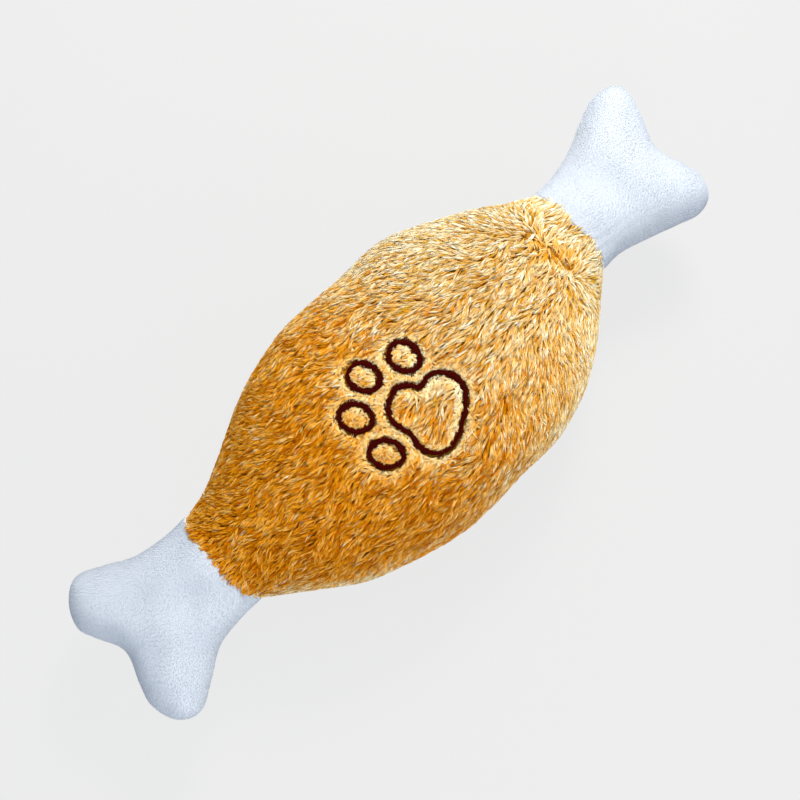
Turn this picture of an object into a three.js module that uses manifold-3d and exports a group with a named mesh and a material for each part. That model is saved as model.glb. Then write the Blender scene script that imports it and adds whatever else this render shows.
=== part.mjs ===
// A plush bone for a dog: a stuffed body of tan pile cloth between two white cloth bone ends,
// with a paw embroidered on its front and a squeaker packed in its fibre fill.
// Millimetres. X runs along the toy, Y across it and Z up, out of the front with the paw.
// The origin is on the surface the toy lies on, under the middle of its length and width.
import * as THREE from "three";
import { mergeVertices, toCreasedNormals } from "three/addons/utils/BufferGeometryUtils.js";
import Module from "manifold-3d";

const wasm = await Module();
wasm.setup();

// Body
const bodyLength = 136;
const bodyWidth = 79;
const bodyThickness = 60;
const restingFlat = 0.5;

// Ends, the fuller one on -X and the slimmer one on +X
const leftEnd = {
  side: -1,
  length: 44,
  span: 53,
  thickness: 30,
  neckWidth: 32.4,
  neckThickness: 27,
  offset: 3.6,
};
const rightEnd = {
  side: 1,
  length: 40,
  span: 46.4,
  thickness: 27,
  neckWidth: 29.6,
  neckThickness: 24.6,
  offset: 2.6,
};

// Cloth, seams and fill
const pileCloth = 3;
const smoothCloth = 1.6;
const allowance = 5;
const allowanceThickness = 1.4;
const seamGap = 0.3;
const fillClearance = 0.3;
const creaseDepth = 1.2;
const threadDiameter = 0.6;
const threadSink = 0.45;
const threadEndGap = 1.6;
const threadSides = 5;
const closingLength = 46;
const closingPitch = 2.9;
const closingRise = 0.25;

// Embroidery and the sheet behind it
const stitchWidth = 1.8;
const stitchHeight = 0.9;
const stitchGap = 0.3;
const padWidth = 20.8;
const padHeight = 21.2;
const padX = 7.1;
const padY = -6.7;
const toeWidth = 7.3;
const toeHeight = 9.1;
const backingMargin = 5;
const backingThickness = 0.4;

// Squeaker
const bladderDiameter = 32;
const bladderHeight = 20;
const bladderWall = 0.9;
const bladderFold = 2.2;
const bladderCorner = 3;
const socketHeight = 2;
const plugDiameter = 12;
const plugLength = 11;
const plugFlangeDiameter = 17;
const plugFlangeThickness = 1.6;
const airwayWidth = 6.4;
const airwayDepth = 3.4;
const reedWidth = 5.4;
const reedThickness = 0.3;
const reedTipGap = 2.4;
const wedgeLength = 4;
const wedgeGap = 0.1;
const fitGap = 0.3;
const squeakerGap = 0.5;
const parting = 1;

// How far a cutter runs past what it cuts, and how near two corners must be to count as one
const overrun = 12;
const weld = 1e-4;

// Shares of the body's length and of its swelling from neck to widest place, seen from the front
const widthSwellShares = [
  [0, 0], [0.06, 0.16], [0.12, 0.36], [0.2, 0.625], [0.3, 0.845], [0.41, 0.99],
  [0.49, 1], [0.58, 0.975], [0.69, 0.96], [0.78, 0.795], [0.88, 0.49], [0.95, 0.2],
  [1, 0],
];
// The same, seen from the side
const depthSwellShares = [
  [0, 0], [0.1, 0.36], [0.22, 0.7], [0.36, 0.94], [0.5, 1], [0.64, 0.96], [0.78, 0.77], [0.9, 0.4], [1, 0],
];
// How far the middle of the body lies to the side, in shares of the way from its middle to a neck and
// of that end's offset
const bendShares = [[0, 0], [0.45, 0], [0.62, -0.15], [0.78, 0.12], [0.88, 0.42], [0.95, 0.72], [1, 1]];
const sectionPower = 2.3;

// The outline of each end on its -Y and its +Y side, neck to notch, in shares of its length and of
// half its span, where the first share is past the neck seam. The neck's own points take their width
// from the neck.
const waistShare = 0.18;
leftEnd.outlineShares = [
  [[0.42, 0.67], [0.62, 0.87], [0.81, 1.04], [0.95, 0.91], [1, 0.61], [0.955, 0.34], [0.88, 0]],
  [[0.42, 0.68], [0.62, 0.85], [0.79, 0.96], [0.93, 0.8], [1, 0.53], [0.955, 0.3], [0.88, 0]],
];
rightEnd.outlineShares = [
  [[0.42, 0.76], [0.62, 0.88], [0.78, 0.96], [0.91, 0.87], [0.965, 0.61], [0.93, 0.34], [0.87, 0]],
  [[0.42, 0.74], [0.62, 0.9], [0.8, 1], [0.95, 0.94], [1, 0.73], [0.95, 0.4], [0.87, 0]],
];
// The facets over an end have their outer corners at the fourth listed point, on the lobe's tip
const neckPoints = 3;
const cornerPoint = neckPoints + 3;
// How an end thickens from its neck, in shares of its length and of that growth, and how soon the
// fill rounds it out from its seam
const endSwellShares = [[0, 0], [0.3, 0.3], [0.7, 1], [1, 0.85]];
const fullness = 2;

// The paw: a pad outline and four toes, in shares of half the pad's width and height from its middle
const padOutlineShares = [
  [0.05, 0.63], [0.3, 0.68], [0.53, 0.67], [0.74, 0.54], [0.92, 0.24], [0.92, -0.08],
  [0.71, -0.39], [0.34, -0.68], [-0.11, -0.93], [-0.43, -1], [-0.72, -0.9], [-0.92, -0.63],
  [-0.96, -0.31], [-0.91, -0.02], [-1.01, 0.3], [-1, 0.58], [-0.84, 0.83], [-0.62, 0.97],
  [-0.37, 1.02], [-0.16, 0.93], [-0.02, 0.79],
];
const toeShares = [
  { x: -1.7, y: 0.01, tilt: 0.6 },
  { x: -1.63, y: 1.19, tilt: 0.51 },
  { x: -0.77, y: 1.79, tilt: 0.38 },
  { x: 0.33, y: 1.46, tilt: 0.28 },
];

// Section of a run of satin stitch, in shares of half its width and of its height
const beadShares = [[1, 0], [0.66, 0.8], [0, 1], [-0.66, 0.8], [-1, 0]];

// Facets, and the angle past which an edge is drawn sharp
const bodyStations = 20;
const bodyRing = 28;
const bodyHollowStations = 12;
const neckRing = 20;
const endStations = 9;
const endAcross = 10;
const endHollowStations = 6;
const endHollowAcross = 8;
const endSeamSteps = 26;
const outlineSamples = 600;
const padSteps = 36;
const toeSteps = 14;
const turnedSegments = 20;
const creaseAngle = Math.PI / 5;

const overallLength = leftEnd.length + bodyLength + rightEnd.length;
const leftNeck = -overallLength / 2 + leftEnd.length;
const rightNeck = leftNeck + bodyLength;
const midHeight = bodyThickness / 2 - restingFlat;
leftEnd.neck = leftNeck;
rightEnd.neck = rightNeck;

// Solids

function solid(geometry) {
  const bare = geometry.index ? geometry.toNonIndexed() : geometry.clone();
  for (const name of Object.keys(bare.attributes)) if (name !== "position") bare.deleteAttribute(name);
  const merged = mergeVertices(bare, weld);
  const vertProperties = merged.attributes.position.array;
  const triVerts = new Uint32Array(merged.index.array);
  return new wasm.Manifold(new wasm.Mesh({ numProp: 3, vertProperties, triVerts }));
}

function geometryOf(manifold) {
  const mesh = manifold.getMesh();
  const geometry = new THREE.BufferGeometry();
  geometry.setAttribute("position", new THREE.BufferAttribute(mesh.vertProperties, mesh.numProp));
  geometry.setIndex(new THREE.BufferAttribute(mesh.triVerts, 1));
  return toCreasedNormals(geometry, creaseAngle);
}

function box(low, high) {
  const size = new THREE.Vector3().subVectors(high, low);
  const middle = new THREE.Vector3().addVectors(low, high).multiplyScalar(0.5);
  return solid(new THREE.BoxGeometry(size.x, size.y, size.z).translate(middle.x, middle.y, middle.z));
}

// A block as wide and tall as the toy needs, between two places on X
function slabX(from, to) {
  const reach = bodyWidth + overrun;
  return box(new THREE.Vector3(from, -reach, -reach), new THREE.Vector3(to, reach, reach));
}

function slabZ(from, to) {
  const reach = overallLength;
  return box(new THREE.Vector3(-reach, -reach, from), new THREE.Vector3(reach, reach, to));
}

// Closed skin over rings of points that all run the same way round. An open end gets a cap.
function skin(rings, { loop = false, capFirst = true, capLast = true } = {}) {
  const corners = [];
  const across = rings[0].length;
  const last = loop ? rings.length : rings.length - 1;
  for (let i = 0; i < last; i++) {
    const here = rings[i];
    const next = rings[(i + 1) % rings.length];
    for (let j = 0; j < across; j++) {
      const k = (j + 1) % across;
      corners.push(here[j], here[k], next[k], here[j], next[k], next[j]);
    }
  }
  const cap = (ring, turned) => {
    const middle = new THREE.Vector3();
    for (const point of ring) middle.addScaledVector(point, 1 / across);
    for (let j = 0; j < across; j++) {
      const k = (j + 1) % across;
      corners.push(middle, turned ? ring[k] : ring[j], turned ? ring[j] : ring[k]);
    }
  };
  if (!loop && capFirst) cap(rings[0], true);
  if (!loop && capLast) cap(rings[rings.length - 1], false);
  const made = solid(new THREE.BufferGeometry().setFromPoints(corners));
  if (made.volume() > 0) return made;
  corners.reverse();
  return solid(new THREE.BufferGeometry().setFromPoints(corners));
}

// A bar of the given section along points. The section's first axis lies across the path in the
// surface whose normals are given, and its second axis stands out along those normals.
function bar(points, normals, section, loop) {
  const rings = points.map((point, i) => {
    const before = points[loop ? (i + points.length - 1) % points.length : Math.max(i - 1, 0)];
    const after = points[loop ? (i + 1) % points.length : Math.min(i + 1, points.length - 1)];
    const forward = new THREE.Vector3().subVectors(after, before).normalize();
    const across = new THREE.Vector3().crossVectors(normals[i], forward).normalize();
    const up = new THREE.Vector3().crossVectors(forward, across).normalize();
    return section.map(([a, b]) => point.clone().addScaledVector(across, a).addScaledVector(up, b));
  });
  return skin(rings, { loop });
}

function roundSection(radius, sides) {
  return Array.from({ length: sides }, (_, i) => {
    const angle = (2 * Math.PI * i) / sides;
    return [radius * Math.cos(angle), radius * Math.sin(angle)];
  });
}

// A smooth value between listed shares, place by place
function along(shares, place) {
  const last = shares.length - 1;
  let i = 0;
  while (i < last - 1 && place > shares[i + 1][0]) i++;
  const slope = (k) => {
    const [x0, y0] = shares[Math.max(k - 1, 0)];
    const [x1, y1] = shares[Math.min(k + 1, last)];
    return (y1 - y0) / (x1 - x0);
  };
  const [x0, y0] = shares[i];
  const [x1, y1] = shares[i + 1];
  const width = x1 - x0;
  const t = (place - x0) / width;
  const bend0 = slope(i) * width;
  const bend1 = slope(i + 1) * width;
  const leaving = (y0 * (1 + 2 * t) + bend0 * t) * (1 - t) ** 2;
  return leaving + (y1 * (3 - 2 * t) + bend1 * (t - 1)) * t ** 2;
}

// Body

// Half width, half thickness and middle of the body's section at x, past the necks too
function bodySection(x) {
  const share = THREE.MathUtils.clamp((x - leftNeck) / bodyLength, 0, 1);
  const neck = (key) => THREE.MathUtils.lerp(leftEnd[key], rightEnd[key], share) / 2;
  const swell = (from, to, shares) => from + (to - from) * along(shares, share);
  const end = x < 0 ? leftEnd : rightEnd;
  const towards = THREE.MathUtils.clamp(x / end.neck, 0, 1);
  return {
    halfWidth: swell(neck("neckWidth"), bodyWidth / 2, widthSwellShares),
    halfDepth: swell(neck("neckThickness"), bodyThickness / 2, depthSwellShares),
    middle: end.offset * along(bendShares, towards),
  };
}

// How high the section stands at a share of its half width
function sectionRise(share) {
  return (1 - Math.min(Math.abs(share), 1) ** sectionPower) ** (1 / sectionPower);
}

function bodyRingAt(x, inset, sides) {
  const { halfWidth, halfDepth, middle } = bodySection(x);
  return Array.from({ length: sides }, (_, i) => {
    const angle = (2 * Math.PI * i) / sides;
    const share = Math.cos(angle);
    const y = middle + (halfWidth - inset) * share;
    const rise = (halfDepth - inset) * sectionRise(share);
    return new THREE.Vector3(x, y, midHeight + (2 * i < sides ? rise : -rise));
  });
}

// Places on X from neck to neck
function stationsAlong(count) {
  return Array.from({ length: count + 1 }, (_, i) => leftNeck + (bodyLength * i) / count);
}

// The body's form, drawn in by inset and carried past each neck by reach
function bodyForm(inset, reach, stations, sides) {
  const places = stationsAlong(stations);
  if (reach > 0) {
    places.unshift(leftNeck - reach);
    places.push(rightNeck + reach);
  }
  return skin(places.map((x) => bodyRingAt(x, inset, sides)));
}

// A point on the front of the body and the way its cloth faces there
function frontPoint(x, y) {
  const height = (px, py) => {
    const { halfWidth, halfDepth, middle } = bodySection(px);
    return midHeight + halfDepth * sectionRise((py - middle) / halfWidth);
  };
  const step = stitchWidth / 2;
  const slopeX = (height(x + step, y) - height(x - step, y)) / (2 * step);
  const slopeY = (height(x, y + step) - height(x, y - step)) / (2 * step);
  return {
    point: new THREE.Vector3(x, y, height(x, y)),
    normal: new THREE.Vector3(-slopeX, -slopeY, 1).normalize(),
  };
}

// Ends

// The whole outline of an end as a curve through evenly numbered points, neck to neck round the tip.
// It starts and finishes past the neck seam, inside the body.
function endOutline(end) {
  const halfNeck = end.neckWidth / 2;
  const [lower, upper] = end.outlineShares.map((shares) => [
    [-overrun, halfNeck],
    [0, halfNeck],
    [waistShare * end.length, halfNeck],
    ...shares.map(([along, out]) => [along * end.length, (out * end.span) / 2]),
  ]);
  const points = [
    ...lower.map(([x, y]) => new THREE.Vector2(x, -y)),
    ...upper.slice(0, -1).reverse().map(([x, y]) => new THREE.Vector2(x, y)),
  ];
  const curve = new THREE.SplineCurve(points);
  return { curve, last: points.length - 1 };
}

// A place on the outline by point number, drawn in by inset
function outlinePoint({ curve, last }, number, inset) {
  const place = THREE.MathUtils.clamp(number / last, 0, 1);
  const point = curve.getPoint(place);
  const forward = curve.getTangent(place);
  return point.add(new THREE.Vector2(-forward.y, forward.x).multiplyScalar(inset));
}

// Distance to the seam line, eased where the seam bends round: it sets how high the fill lifts the
// cloth. Beside a long straight seam the sum is pi / 2 over the distance cubed.
function easedDistance(point, samples) {
  let sum = 0;
  for (const { at, length } of samples) sum += length / Math.max(point.distanceTo(at), weld) ** 4;
  return (sum / (Math.PI / 2)) ** (-1 / 3);
}

// The end's form, front and back, drawn in by inset. Its facets lie between the side seams and the tip.
function endForm(end, inset, stations, across) {
  const outline = endOutline(end);
  const samples = [];
  for (let i = 0; i < outlineSamples; i++) {
    const from = outlinePoint(outline, (outline.last * i) / outlineSamples, inset);
    const to = outlinePoint(outline, (outline.last * (i + 1)) / outlineSamples, inset);
    samples.push({ at: from.clone().add(to).multiplyScalar(0.5), length: from.distanceTo(to) });
  }
  const rounding = (share) => Math.sqrt(1 - Math.exp(-fullness * share));
  const neckReach = easedDistance(new THREE.Vector2(0, 0), samples);
  const lift = (point) => {
    const growth = along(endSwellShares, THREE.MathUtils.clamp(point.x / end.length, 0, 1));
    const thickness = end.neckThickness + (end.thickness - end.neckThickness) * growth;
    const share = rounding(easedDistance(point, samples) / neckReach) / rounding(1);
    return (thickness / 2 - inset) * share;
  };
  const lower = (u) => outlinePoint(outline, u * cornerPoint, inset);
  const upper = (u) => outlinePoint(outline, outline.last - u * cornerPoint, inset);
  const tip = (w) => outlinePoint(outline, cornerPoint + w * (outline.last - 2 * cornerPoint), inset);
  const start = (w) => lower(0).lerp(upper(0), w);
  const rings = [];
  for (let i = 0; i <= stations; i++) {
    const u = Math.sin((Math.PI * i) / (2 * stations));
    const front = [];
    const back = [];
    for (let j = 0; j <= across; j++) {
      const w = (1 - Math.cos((Math.PI * j) / across)) / 2;
      const corners = start(0).multiplyScalar((1 - u) * (1 - w));
      corners.addScaledVector(start(1), (1 - u) * w);
      corners.addScaledVector(tip(0), u * (1 - w)).addScaledVector(tip(1), u * w);
      const point = lower(u).multiplyScalar(1 - w).addScaledVector(upper(u), w);
      point.addScaledVector(start(w), 1 - u).addScaledVector(tip(w), u).sub(corners);
      const onSeam = j === 0 || j === across || i === stations;
      const height = onSeam ? 0 : lift(point);
      const x = end.neck + end.side * point.x;
      front.push(new THREE.Vector3(x, end.offset + point.y, midHeight + height));
      if (j === 0 || j === across) continue;
      back.unshift(new THREE.Vector3(x, end.offset + point.y, midHeight - height));
    }
    rings.push([...front, ...back]);
  }
  return skin(rings, { capLast: false });
}

// Panels and fill

// The space inside two sewn panels: their inner faces, narrowed where the turned-in allowances lie
// along the side seams and round each neck
function hollow(form, cloth, necks, clearance) {
  const lap = allowanceThickness + seamGap / 2 + clearance;
  const lips = necks.reduce(
    (all, neck) => all.add(slabX(neck - lap, neck + lap)),
    slabZ(midHeight - lap, midHeight + lap),
  );
  return form(cloth + clearance).subtract(lips).add(form(allowance + clearance));
}

const front = slabZ(midHeight + seamGap / 2, midHeight + bodyThickness + overrun);
const back = slabZ(0, midHeight - seamGap / 2);
const betweenNecks = slabX(leftNeck + seamGap / 2, rightNeck - seamGap / 2);
const pastNeck = (end) => {
  const near = end.neck + (end.side * seamGap) / 2;
  const far = end.neck + end.side * (end.length + overrun);
  return slabX(Math.min(near, far), Math.max(near, far));
};

const bodyHollowForm = (inset) => bodyForm(inset, overrun, bodyHollowStations, neckRing);
const bodyHollow = (clearance) => hollow(bodyHollowForm, pileCloth, [leftNeck, rightNeck], clearance);
const endHollow = (end, clearance) => {
  const form = (inset) => endForm(end, inset, endHollowStations, endHollowAcross);
  return hollow(form, smoothCloth, [end.neck], clearance);
};

// Seam lines

const acrossNormal = new THREE.Vector3(0, 0, 1);
const creaseSection = [[creaseDepth, 0], [0, creaseDepth], [-creaseDepth, 0], [0, -creaseDepth]];
const threadSection = roundSection(threadDiameter / 2, threadSides);

// The body's side seam at places on X, drawn in by inset; side is -1 or 1 on Y
function sideSeam(side, inset, places) {
  return places.map((x) => {
    const { halfWidth, middle } = bodySection(x);
    return new THREE.Vector3(x, middle + side * (halfWidth - inset), midHeight);
  });
}

// Two places on X with the body's stations between them, so that a thread turns where its crease does
function stretch(from, to) {
  return [from, ...stationsAlong(bodyStations).filter((x) => x > from && x < to), to];
}

function endSeam(end, inset, startGap, steps) {
  const outline = endOutline(end);
  const points = [];
  for (let i = 0; i <= steps; i++) {
    const point = outlinePoint(outline, 1 + ((outline.last - 2) * i) / steps, inset);
    const gap = i === 0 || i === steps ? startGap : 0;
    points.push(new THREE.Vector3(end.neck + end.side * (point.x + gap), end.offset + point.y, midHeight));
  }
  return points;
}

function neckSeam(end, inset) {
  return bodyRingAt(end.neck, inset, neckRing);
}

const upright = (points) => points.map(() => acrossNormal);
const alongX = (points) => points.map(() => new THREE.Vector3(1, 0, 0));

const bodyCreases = [-1, 1].map((side) => {
  const line = sideSeam(side, 0, stretch(leftNeck - overrun, rightNeck + overrun));
  return bar(line, upright(line), creaseSection, false);
});
const endCrease = (end) => {
  const line = endSeam(end, 0, 0, endSeamSteps);
  return bar(line, upright(line), creaseSection, false);
};
const neckCrease = (end) => {
  const line = neckSeam(end, 0);
  return bar(line, alongX(line), creaseSection, true);
};

// Squeaker

// A closed profile of radius and height turned about the squeaker's own axis
function turned(profile, segments) {
  const points = [...profile, profile[0]].map(([radius, height]) => new THREE.Vector2(radius, height));
  return solid(new THREE.LatheGeometry(points, segments).rotateX(Math.PI / 2));
}

const bladderBottom = -(bladderHeight + socketHeight) / 2;
const shoulder = bladderBottom + bladderHeight;
const socketTop = shoulder + socketHeight;
const socketBore = plugDiameter / 2 + fitGap;
const flangeBottom = socketTop + fitGap;
const flangeTop = flangeBottom + plugFlangeThickness;
const plugBottom = flangeBottom - plugLength;

// A soft-walled can with one fold round its waist, so that it shortens when pressed
function bladder() {
  const radius = bladderDiameter / 2;
  const bend = bladderCorner;
  const waist = (bladderBottom + shoulder) / 2;
  const wall = (inset) => [
    [radius - bend, bladderBottom + inset],
    [radius - inset, bladderBottom + bend],
    [radius - inset, waist - bladderFold],
    [radius - bladderFold - inset, waist],
    [radius - inset, waist + bladderFold],
    [radius - inset, shoulder - bend],
    [radius - bend, shoulder - inset],
  ];
  const collar = socketBore + bladderWall;
  const outside = [[0, bladderBottom], ...wall(0), [collar, shoulder], [collar, socketTop]];
  const inside = [
    [0, bladderBottom + bladderWall],
    ...wall(bladderWall),
    [socketBore, shoulder - bladderWall],
  ];
  const profile = [...outside, [socketBore, socketTop], ...inside.reverse()];
  return turned(profile, turnedSegments);
}

// Where the airway through the plug has the flat side that the reed lies on
const airwaySide = -airwayDepth / 2;

function plug() {
  const radius = plugDiameter / 2;
  const flange = plugFlangeDiameter / 2;
  const outline = [
    [0, plugBottom],
    [radius, plugBottom],
    [radius, flangeBottom],
    [flange, flangeBottom],
    [flange, flangeTop],
    [0, flangeTop],
  ];
  const airway = box(
    new THREE.Vector3(-airwayWidth / 2, airwaySide, plugBottom - overrun),
    new THREE.Vector3(airwayWidth / 2, -airwaySide, flangeTop + overrun),
  );
  return turned(outline, turnedSegments).subtract(airway);
}

function reed() {
  const low = airwaySide + wedgeGap;
  return box(
    new THREE.Vector3(-reedWidth / 2, low, plugBottom + reedTipGap),
    new THREE.Vector3(reedWidth / 2, low + reedThickness, flangeTop),
  );
}

// The wedge fills the airway beside the reed's held end, but for a passage at each side
function wedge() {
  const low = airwaySide + reedThickness + 2 * wedgeGap;
  return box(
    new THREE.Vector3(-reedWidth / 2, low, flangeTop - wedgeLength),
    new THREE.Vector3(reedWidth / 2, -airwaySide - wedgeGap, flangeTop),
  );
}

// The hole that the squeaker takes up in the fill, with the parting that it was pushed in by
function squeakerRoom() {
  const radius = bladderDiameter / 2 + squeakerGap;
  const flange = plugFlangeDiameter / 2 + squeakerGap;
  const room = turned(
    [
      [0, bladderBottom - squeakerGap],
      [radius, bladderBottom - squeakerGap],
      [radius, shoulder + squeakerGap],
      [flange, shoulder + squeakerGap],
      [flange, flangeTop + squeakerGap],
      [0, flangeTop + squeakerGap],
    ],
    turnedSegments,
  );
  const slit = box(
    new THREE.Vector3(-radius, 0, -parting / 2),
    new THREE.Vector3(radius, bodyWidth, parting / 2),
  );
  return room.add(slit).translate([0, 0, midHeight]);
}

// Embroidery

const bead = beadShares.map(([across, out]) => [(across * stitchWidth) / 2, out * stitchHeight]);

// A bead of satin stitch laid on the front of the body along a closed line of X, Y points
function stitched(line) {
  const places = line.map(({ x, y }) => frontPoint(x, y));
  const points = places.map(({ point, normal }) => point.clone().addScaledVector(normal, stitchGap));
  return bar(points, places.map(({ normal }) => normal), bead, true);
}

function padLine(steps) {
  const points = padOutlineShares.map(
    ([x, y]) => new THREE.Vector3(padX + (x * padWidth) / 2, padY + (y * padHeight) / 2, 0),
  );
  const curve = new THREE.CatmullRomCurve3(points, true, "catmullrom", 0.5);
  return curve.getSpacedPoints(steps).slice(0, -1);
}

function toeLine({ x, y, tilt }, steps) {
  const middle = new THREE.Vector2(padX + (x * padWidth) / 2, padY + (y * padHeight) / 2);
  const ring = new THREE.EllipseCurve(0, 0, toeWidth / 2, toeHeight / 2, 0, 2 * Math.PI, false, tilt);
  return ring.getPoints(steps).slice(0, -1).map((point) => point.add(middle));
}

// An upright post over the whole paw, wider than it by margin
function pawPost(margin) {
  const lines = [padLine(padSteps), ...toeShares.map((toe) => toeLine(toe, toeSteps))].flat();
  const bounds = new THREE.Box2().setFromPoints(lines.map(({ x, y }) => new THREE.Vector2(x, y)));
  const middle = bounds.getCenter(new THREE.Vector2());
  const size = bounds.getSize(new THREE.Vector2());
  const post = new THREE.CylinderGeometry(1, 1, bodyThickness, turnedSegments).rotateX(Math.PI / 2);
  post.scale(size.x / 2 + margin, size.y / 2 + margin, 1);
  return solid(post.translate(middle.x, middle.y, midHeight + bodyThickness / 2));
}

// Finishes

const finish = (color, roughness) => new THREE.MeshStandardMaterial({ color, roughness, metalness: 0 });
const tanPile = finish(0xcf9850, 1);
const whiteCloth = finish(0xe9eef6, 0.95);
const darkStitch = finish(0x3c0a12, 0.7);
const fibreFill = finish(0xf2f1ec, 1);
const backingSheet = finish(0xdfdcd2, 0.95);
const whiteThread = finish(0xe6e6e2, 0.8);
const tanThread = finish(0xb9843f, 0.8);
const softPlastic = finish(0xf0ead8, 0.45);
const hardPlastic = finish(0xe23b2e, 0.35);
const reedFilm = finish(0xd8dde0, 0.2);

// Assembly

const toy = new THREE.Group();

function place(name, made, material, group = toy) {
  const mesh = new THREE.Mesh(geometryOf(made), material);
  mesh.name = name;
  group.add(mesh);
}

const bodyShell = bodyForm(0, 0, bodyStations, bodyRing)
  .intersect(betweenNecks)
  .subtract(bodyHollow(0))
  .subtract(bodyCreases[0])
  .subtract(bodyCreases[1])
  .subtract(neckCrease(leftEnd))
  .subtract(neckCrease(rightEnd));
place("body_front_panel", bodyShell.intersect(front), tanPile);
place("body_back_panel", bodyShell.intersect(back), tanPile);

const backingTop = bodyHollow(fillClearance);
const backingBottom = bodyHollow(fillClearance + backingThickness);
const backingRoom = bodyHollow(fillClearance + backingThickness + fillClearance);
const backing = backingTop.subtract(backingBottom).intersect(pawPost(backingMargin));
place("embroidery_backing", backing, backingSheet);
place(
  "body_fill",
  backingTop
    .intersect(betweenNecks)
    .subtract(pawPost(backingMargin + fillClearance).subtract(backingRoom))
    .subtract(squeakerRoom()),
  fibreFill,
);

for (const [name, end] of [["left", leftEnd], ["right", rightEnd]]) {
  const shell = endForm(end, 0, endStations, endAcross)
    .intersect(pastNeck(end))
    .subtract(endHollow(end, 0))
    .subtract(endCrease(end))
    .subtract(neckCrease(end));
  place(`${name}_end_front_panel`, shell.intersect(front), whiteCloth);
  place(`${name}_end_back_panel`, shell.intersect(back), whiteCloth);
  place(`${name}_end_fill`, endHollow(end, fillClearance).intersect(pastNeck(end)), fibreFill);
  const round = neckSeam(end, threadSink);
  place(`${name}_neck_seam_thread`, bar(round, alongX(round), threadSection, true), whiteThread);
  const edge = endSeam(end, threadSink, threadEndGap, endSeamSteps);
  place(`${name}_end_seam_thread`, bar(edge, upright(edge), threadSection, false), whiteThread);
}

place("paw_pad_embroidery", stitched(padLine(padSteps)), darkStitch);
toeShares.forEach((toe, i) => {
  place(`paw_toe_embroidery_${i + 1}`, stitched(toeLine(toe, toeSteps)), darkStitch);
});

// The side seams are machine sewn, but for the stretch at +Y that was left open to fill the body
const seamThread = (name, side, places, zigzag = 0) => {
  const line = sideSeam(side, threadSink, places);
  line.forEach((point, i) => (point.z += i % 2 ? zigzag : -zigzag));
  place(name, bar(line, upright(line), threadSection, false), tanThread);
};
const seamStart = leftNeck + threadEndGap;
const seamFinish = rightNeck - threadEndGap;
const halfClosing = closingLength / 2;
seamThread("lower_side_seam_thread", -1, stretch(seamStart, seamFinish));
seamThread("upper_side_seam_thread_left", 1, stretch(seamStart, -halfClosing - threadEndGap));
seamThread("upper_side_seam_thread_right", 1, stretch(halfClosing + threadEndGap, seamFinish));
const stitches = Math.round(closingLength / closingPitch);
const ladder = Array.from({ length: stitches + 1 }, (_, i) => closingLength * (i / stitches) - halfClosing);
seamThread("closing_stitch_thread", 1, ladder, closingRise);

const squeaker = new THREE.Group();
squeaker.position.z = midHeight;
toy.add(squeaker);
place("squeaker_bladder", bladder(), softPlastic, squeaker);
place("squeaker_plug", plug(), hardPlastic, squeaker);
place("squeaker_reed", reed(), reedFilm, squeaker);
place("squeaker_reed_wedge", wedge(), hardPlastic, squeaker);

export default toy;
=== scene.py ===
"""Plush bone dog toy: the cloth, pile, stitching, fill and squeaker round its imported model.

Sizes are in millimetres until a mesh is made, in the model's own frame: X along the toy, Y across
it and Z up, out of the front with the paw.
"""

import math
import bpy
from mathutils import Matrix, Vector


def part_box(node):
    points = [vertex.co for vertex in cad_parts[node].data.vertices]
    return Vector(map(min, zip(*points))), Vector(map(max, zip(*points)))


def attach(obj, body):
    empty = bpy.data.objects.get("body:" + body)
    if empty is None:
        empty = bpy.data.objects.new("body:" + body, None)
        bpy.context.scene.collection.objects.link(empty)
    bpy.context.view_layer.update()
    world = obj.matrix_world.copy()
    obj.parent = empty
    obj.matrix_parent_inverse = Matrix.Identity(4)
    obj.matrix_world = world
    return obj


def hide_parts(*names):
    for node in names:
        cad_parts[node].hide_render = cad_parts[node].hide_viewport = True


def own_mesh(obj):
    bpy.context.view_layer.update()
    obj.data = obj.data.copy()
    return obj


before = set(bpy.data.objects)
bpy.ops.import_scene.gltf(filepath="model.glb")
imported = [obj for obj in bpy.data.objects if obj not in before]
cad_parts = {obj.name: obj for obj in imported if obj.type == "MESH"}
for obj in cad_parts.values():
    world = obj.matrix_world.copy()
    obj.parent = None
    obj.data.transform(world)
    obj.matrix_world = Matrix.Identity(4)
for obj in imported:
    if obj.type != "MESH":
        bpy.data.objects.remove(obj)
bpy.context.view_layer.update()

from types import SimpleNamespace

import bmesh
import bpy
import numpy as np
from bpy.props import FloatProperty, FloatVectorProperty, IntProperty, PointerProperty
from mathutils import Vector, noise

bl_info = {
    "name": "Plush Bone Dog Toy",
    "version": (1, 0, 0),
    "blender": (4, 5, 0),
    "location": "View3D > Sidebar > Plush Bone",
    "description": "Makes a stuffed bone toy of pile cloth with an embroidered paw and a squeaker inside",
    "category": "Add Mesh",
}

MM = 0.001

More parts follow.
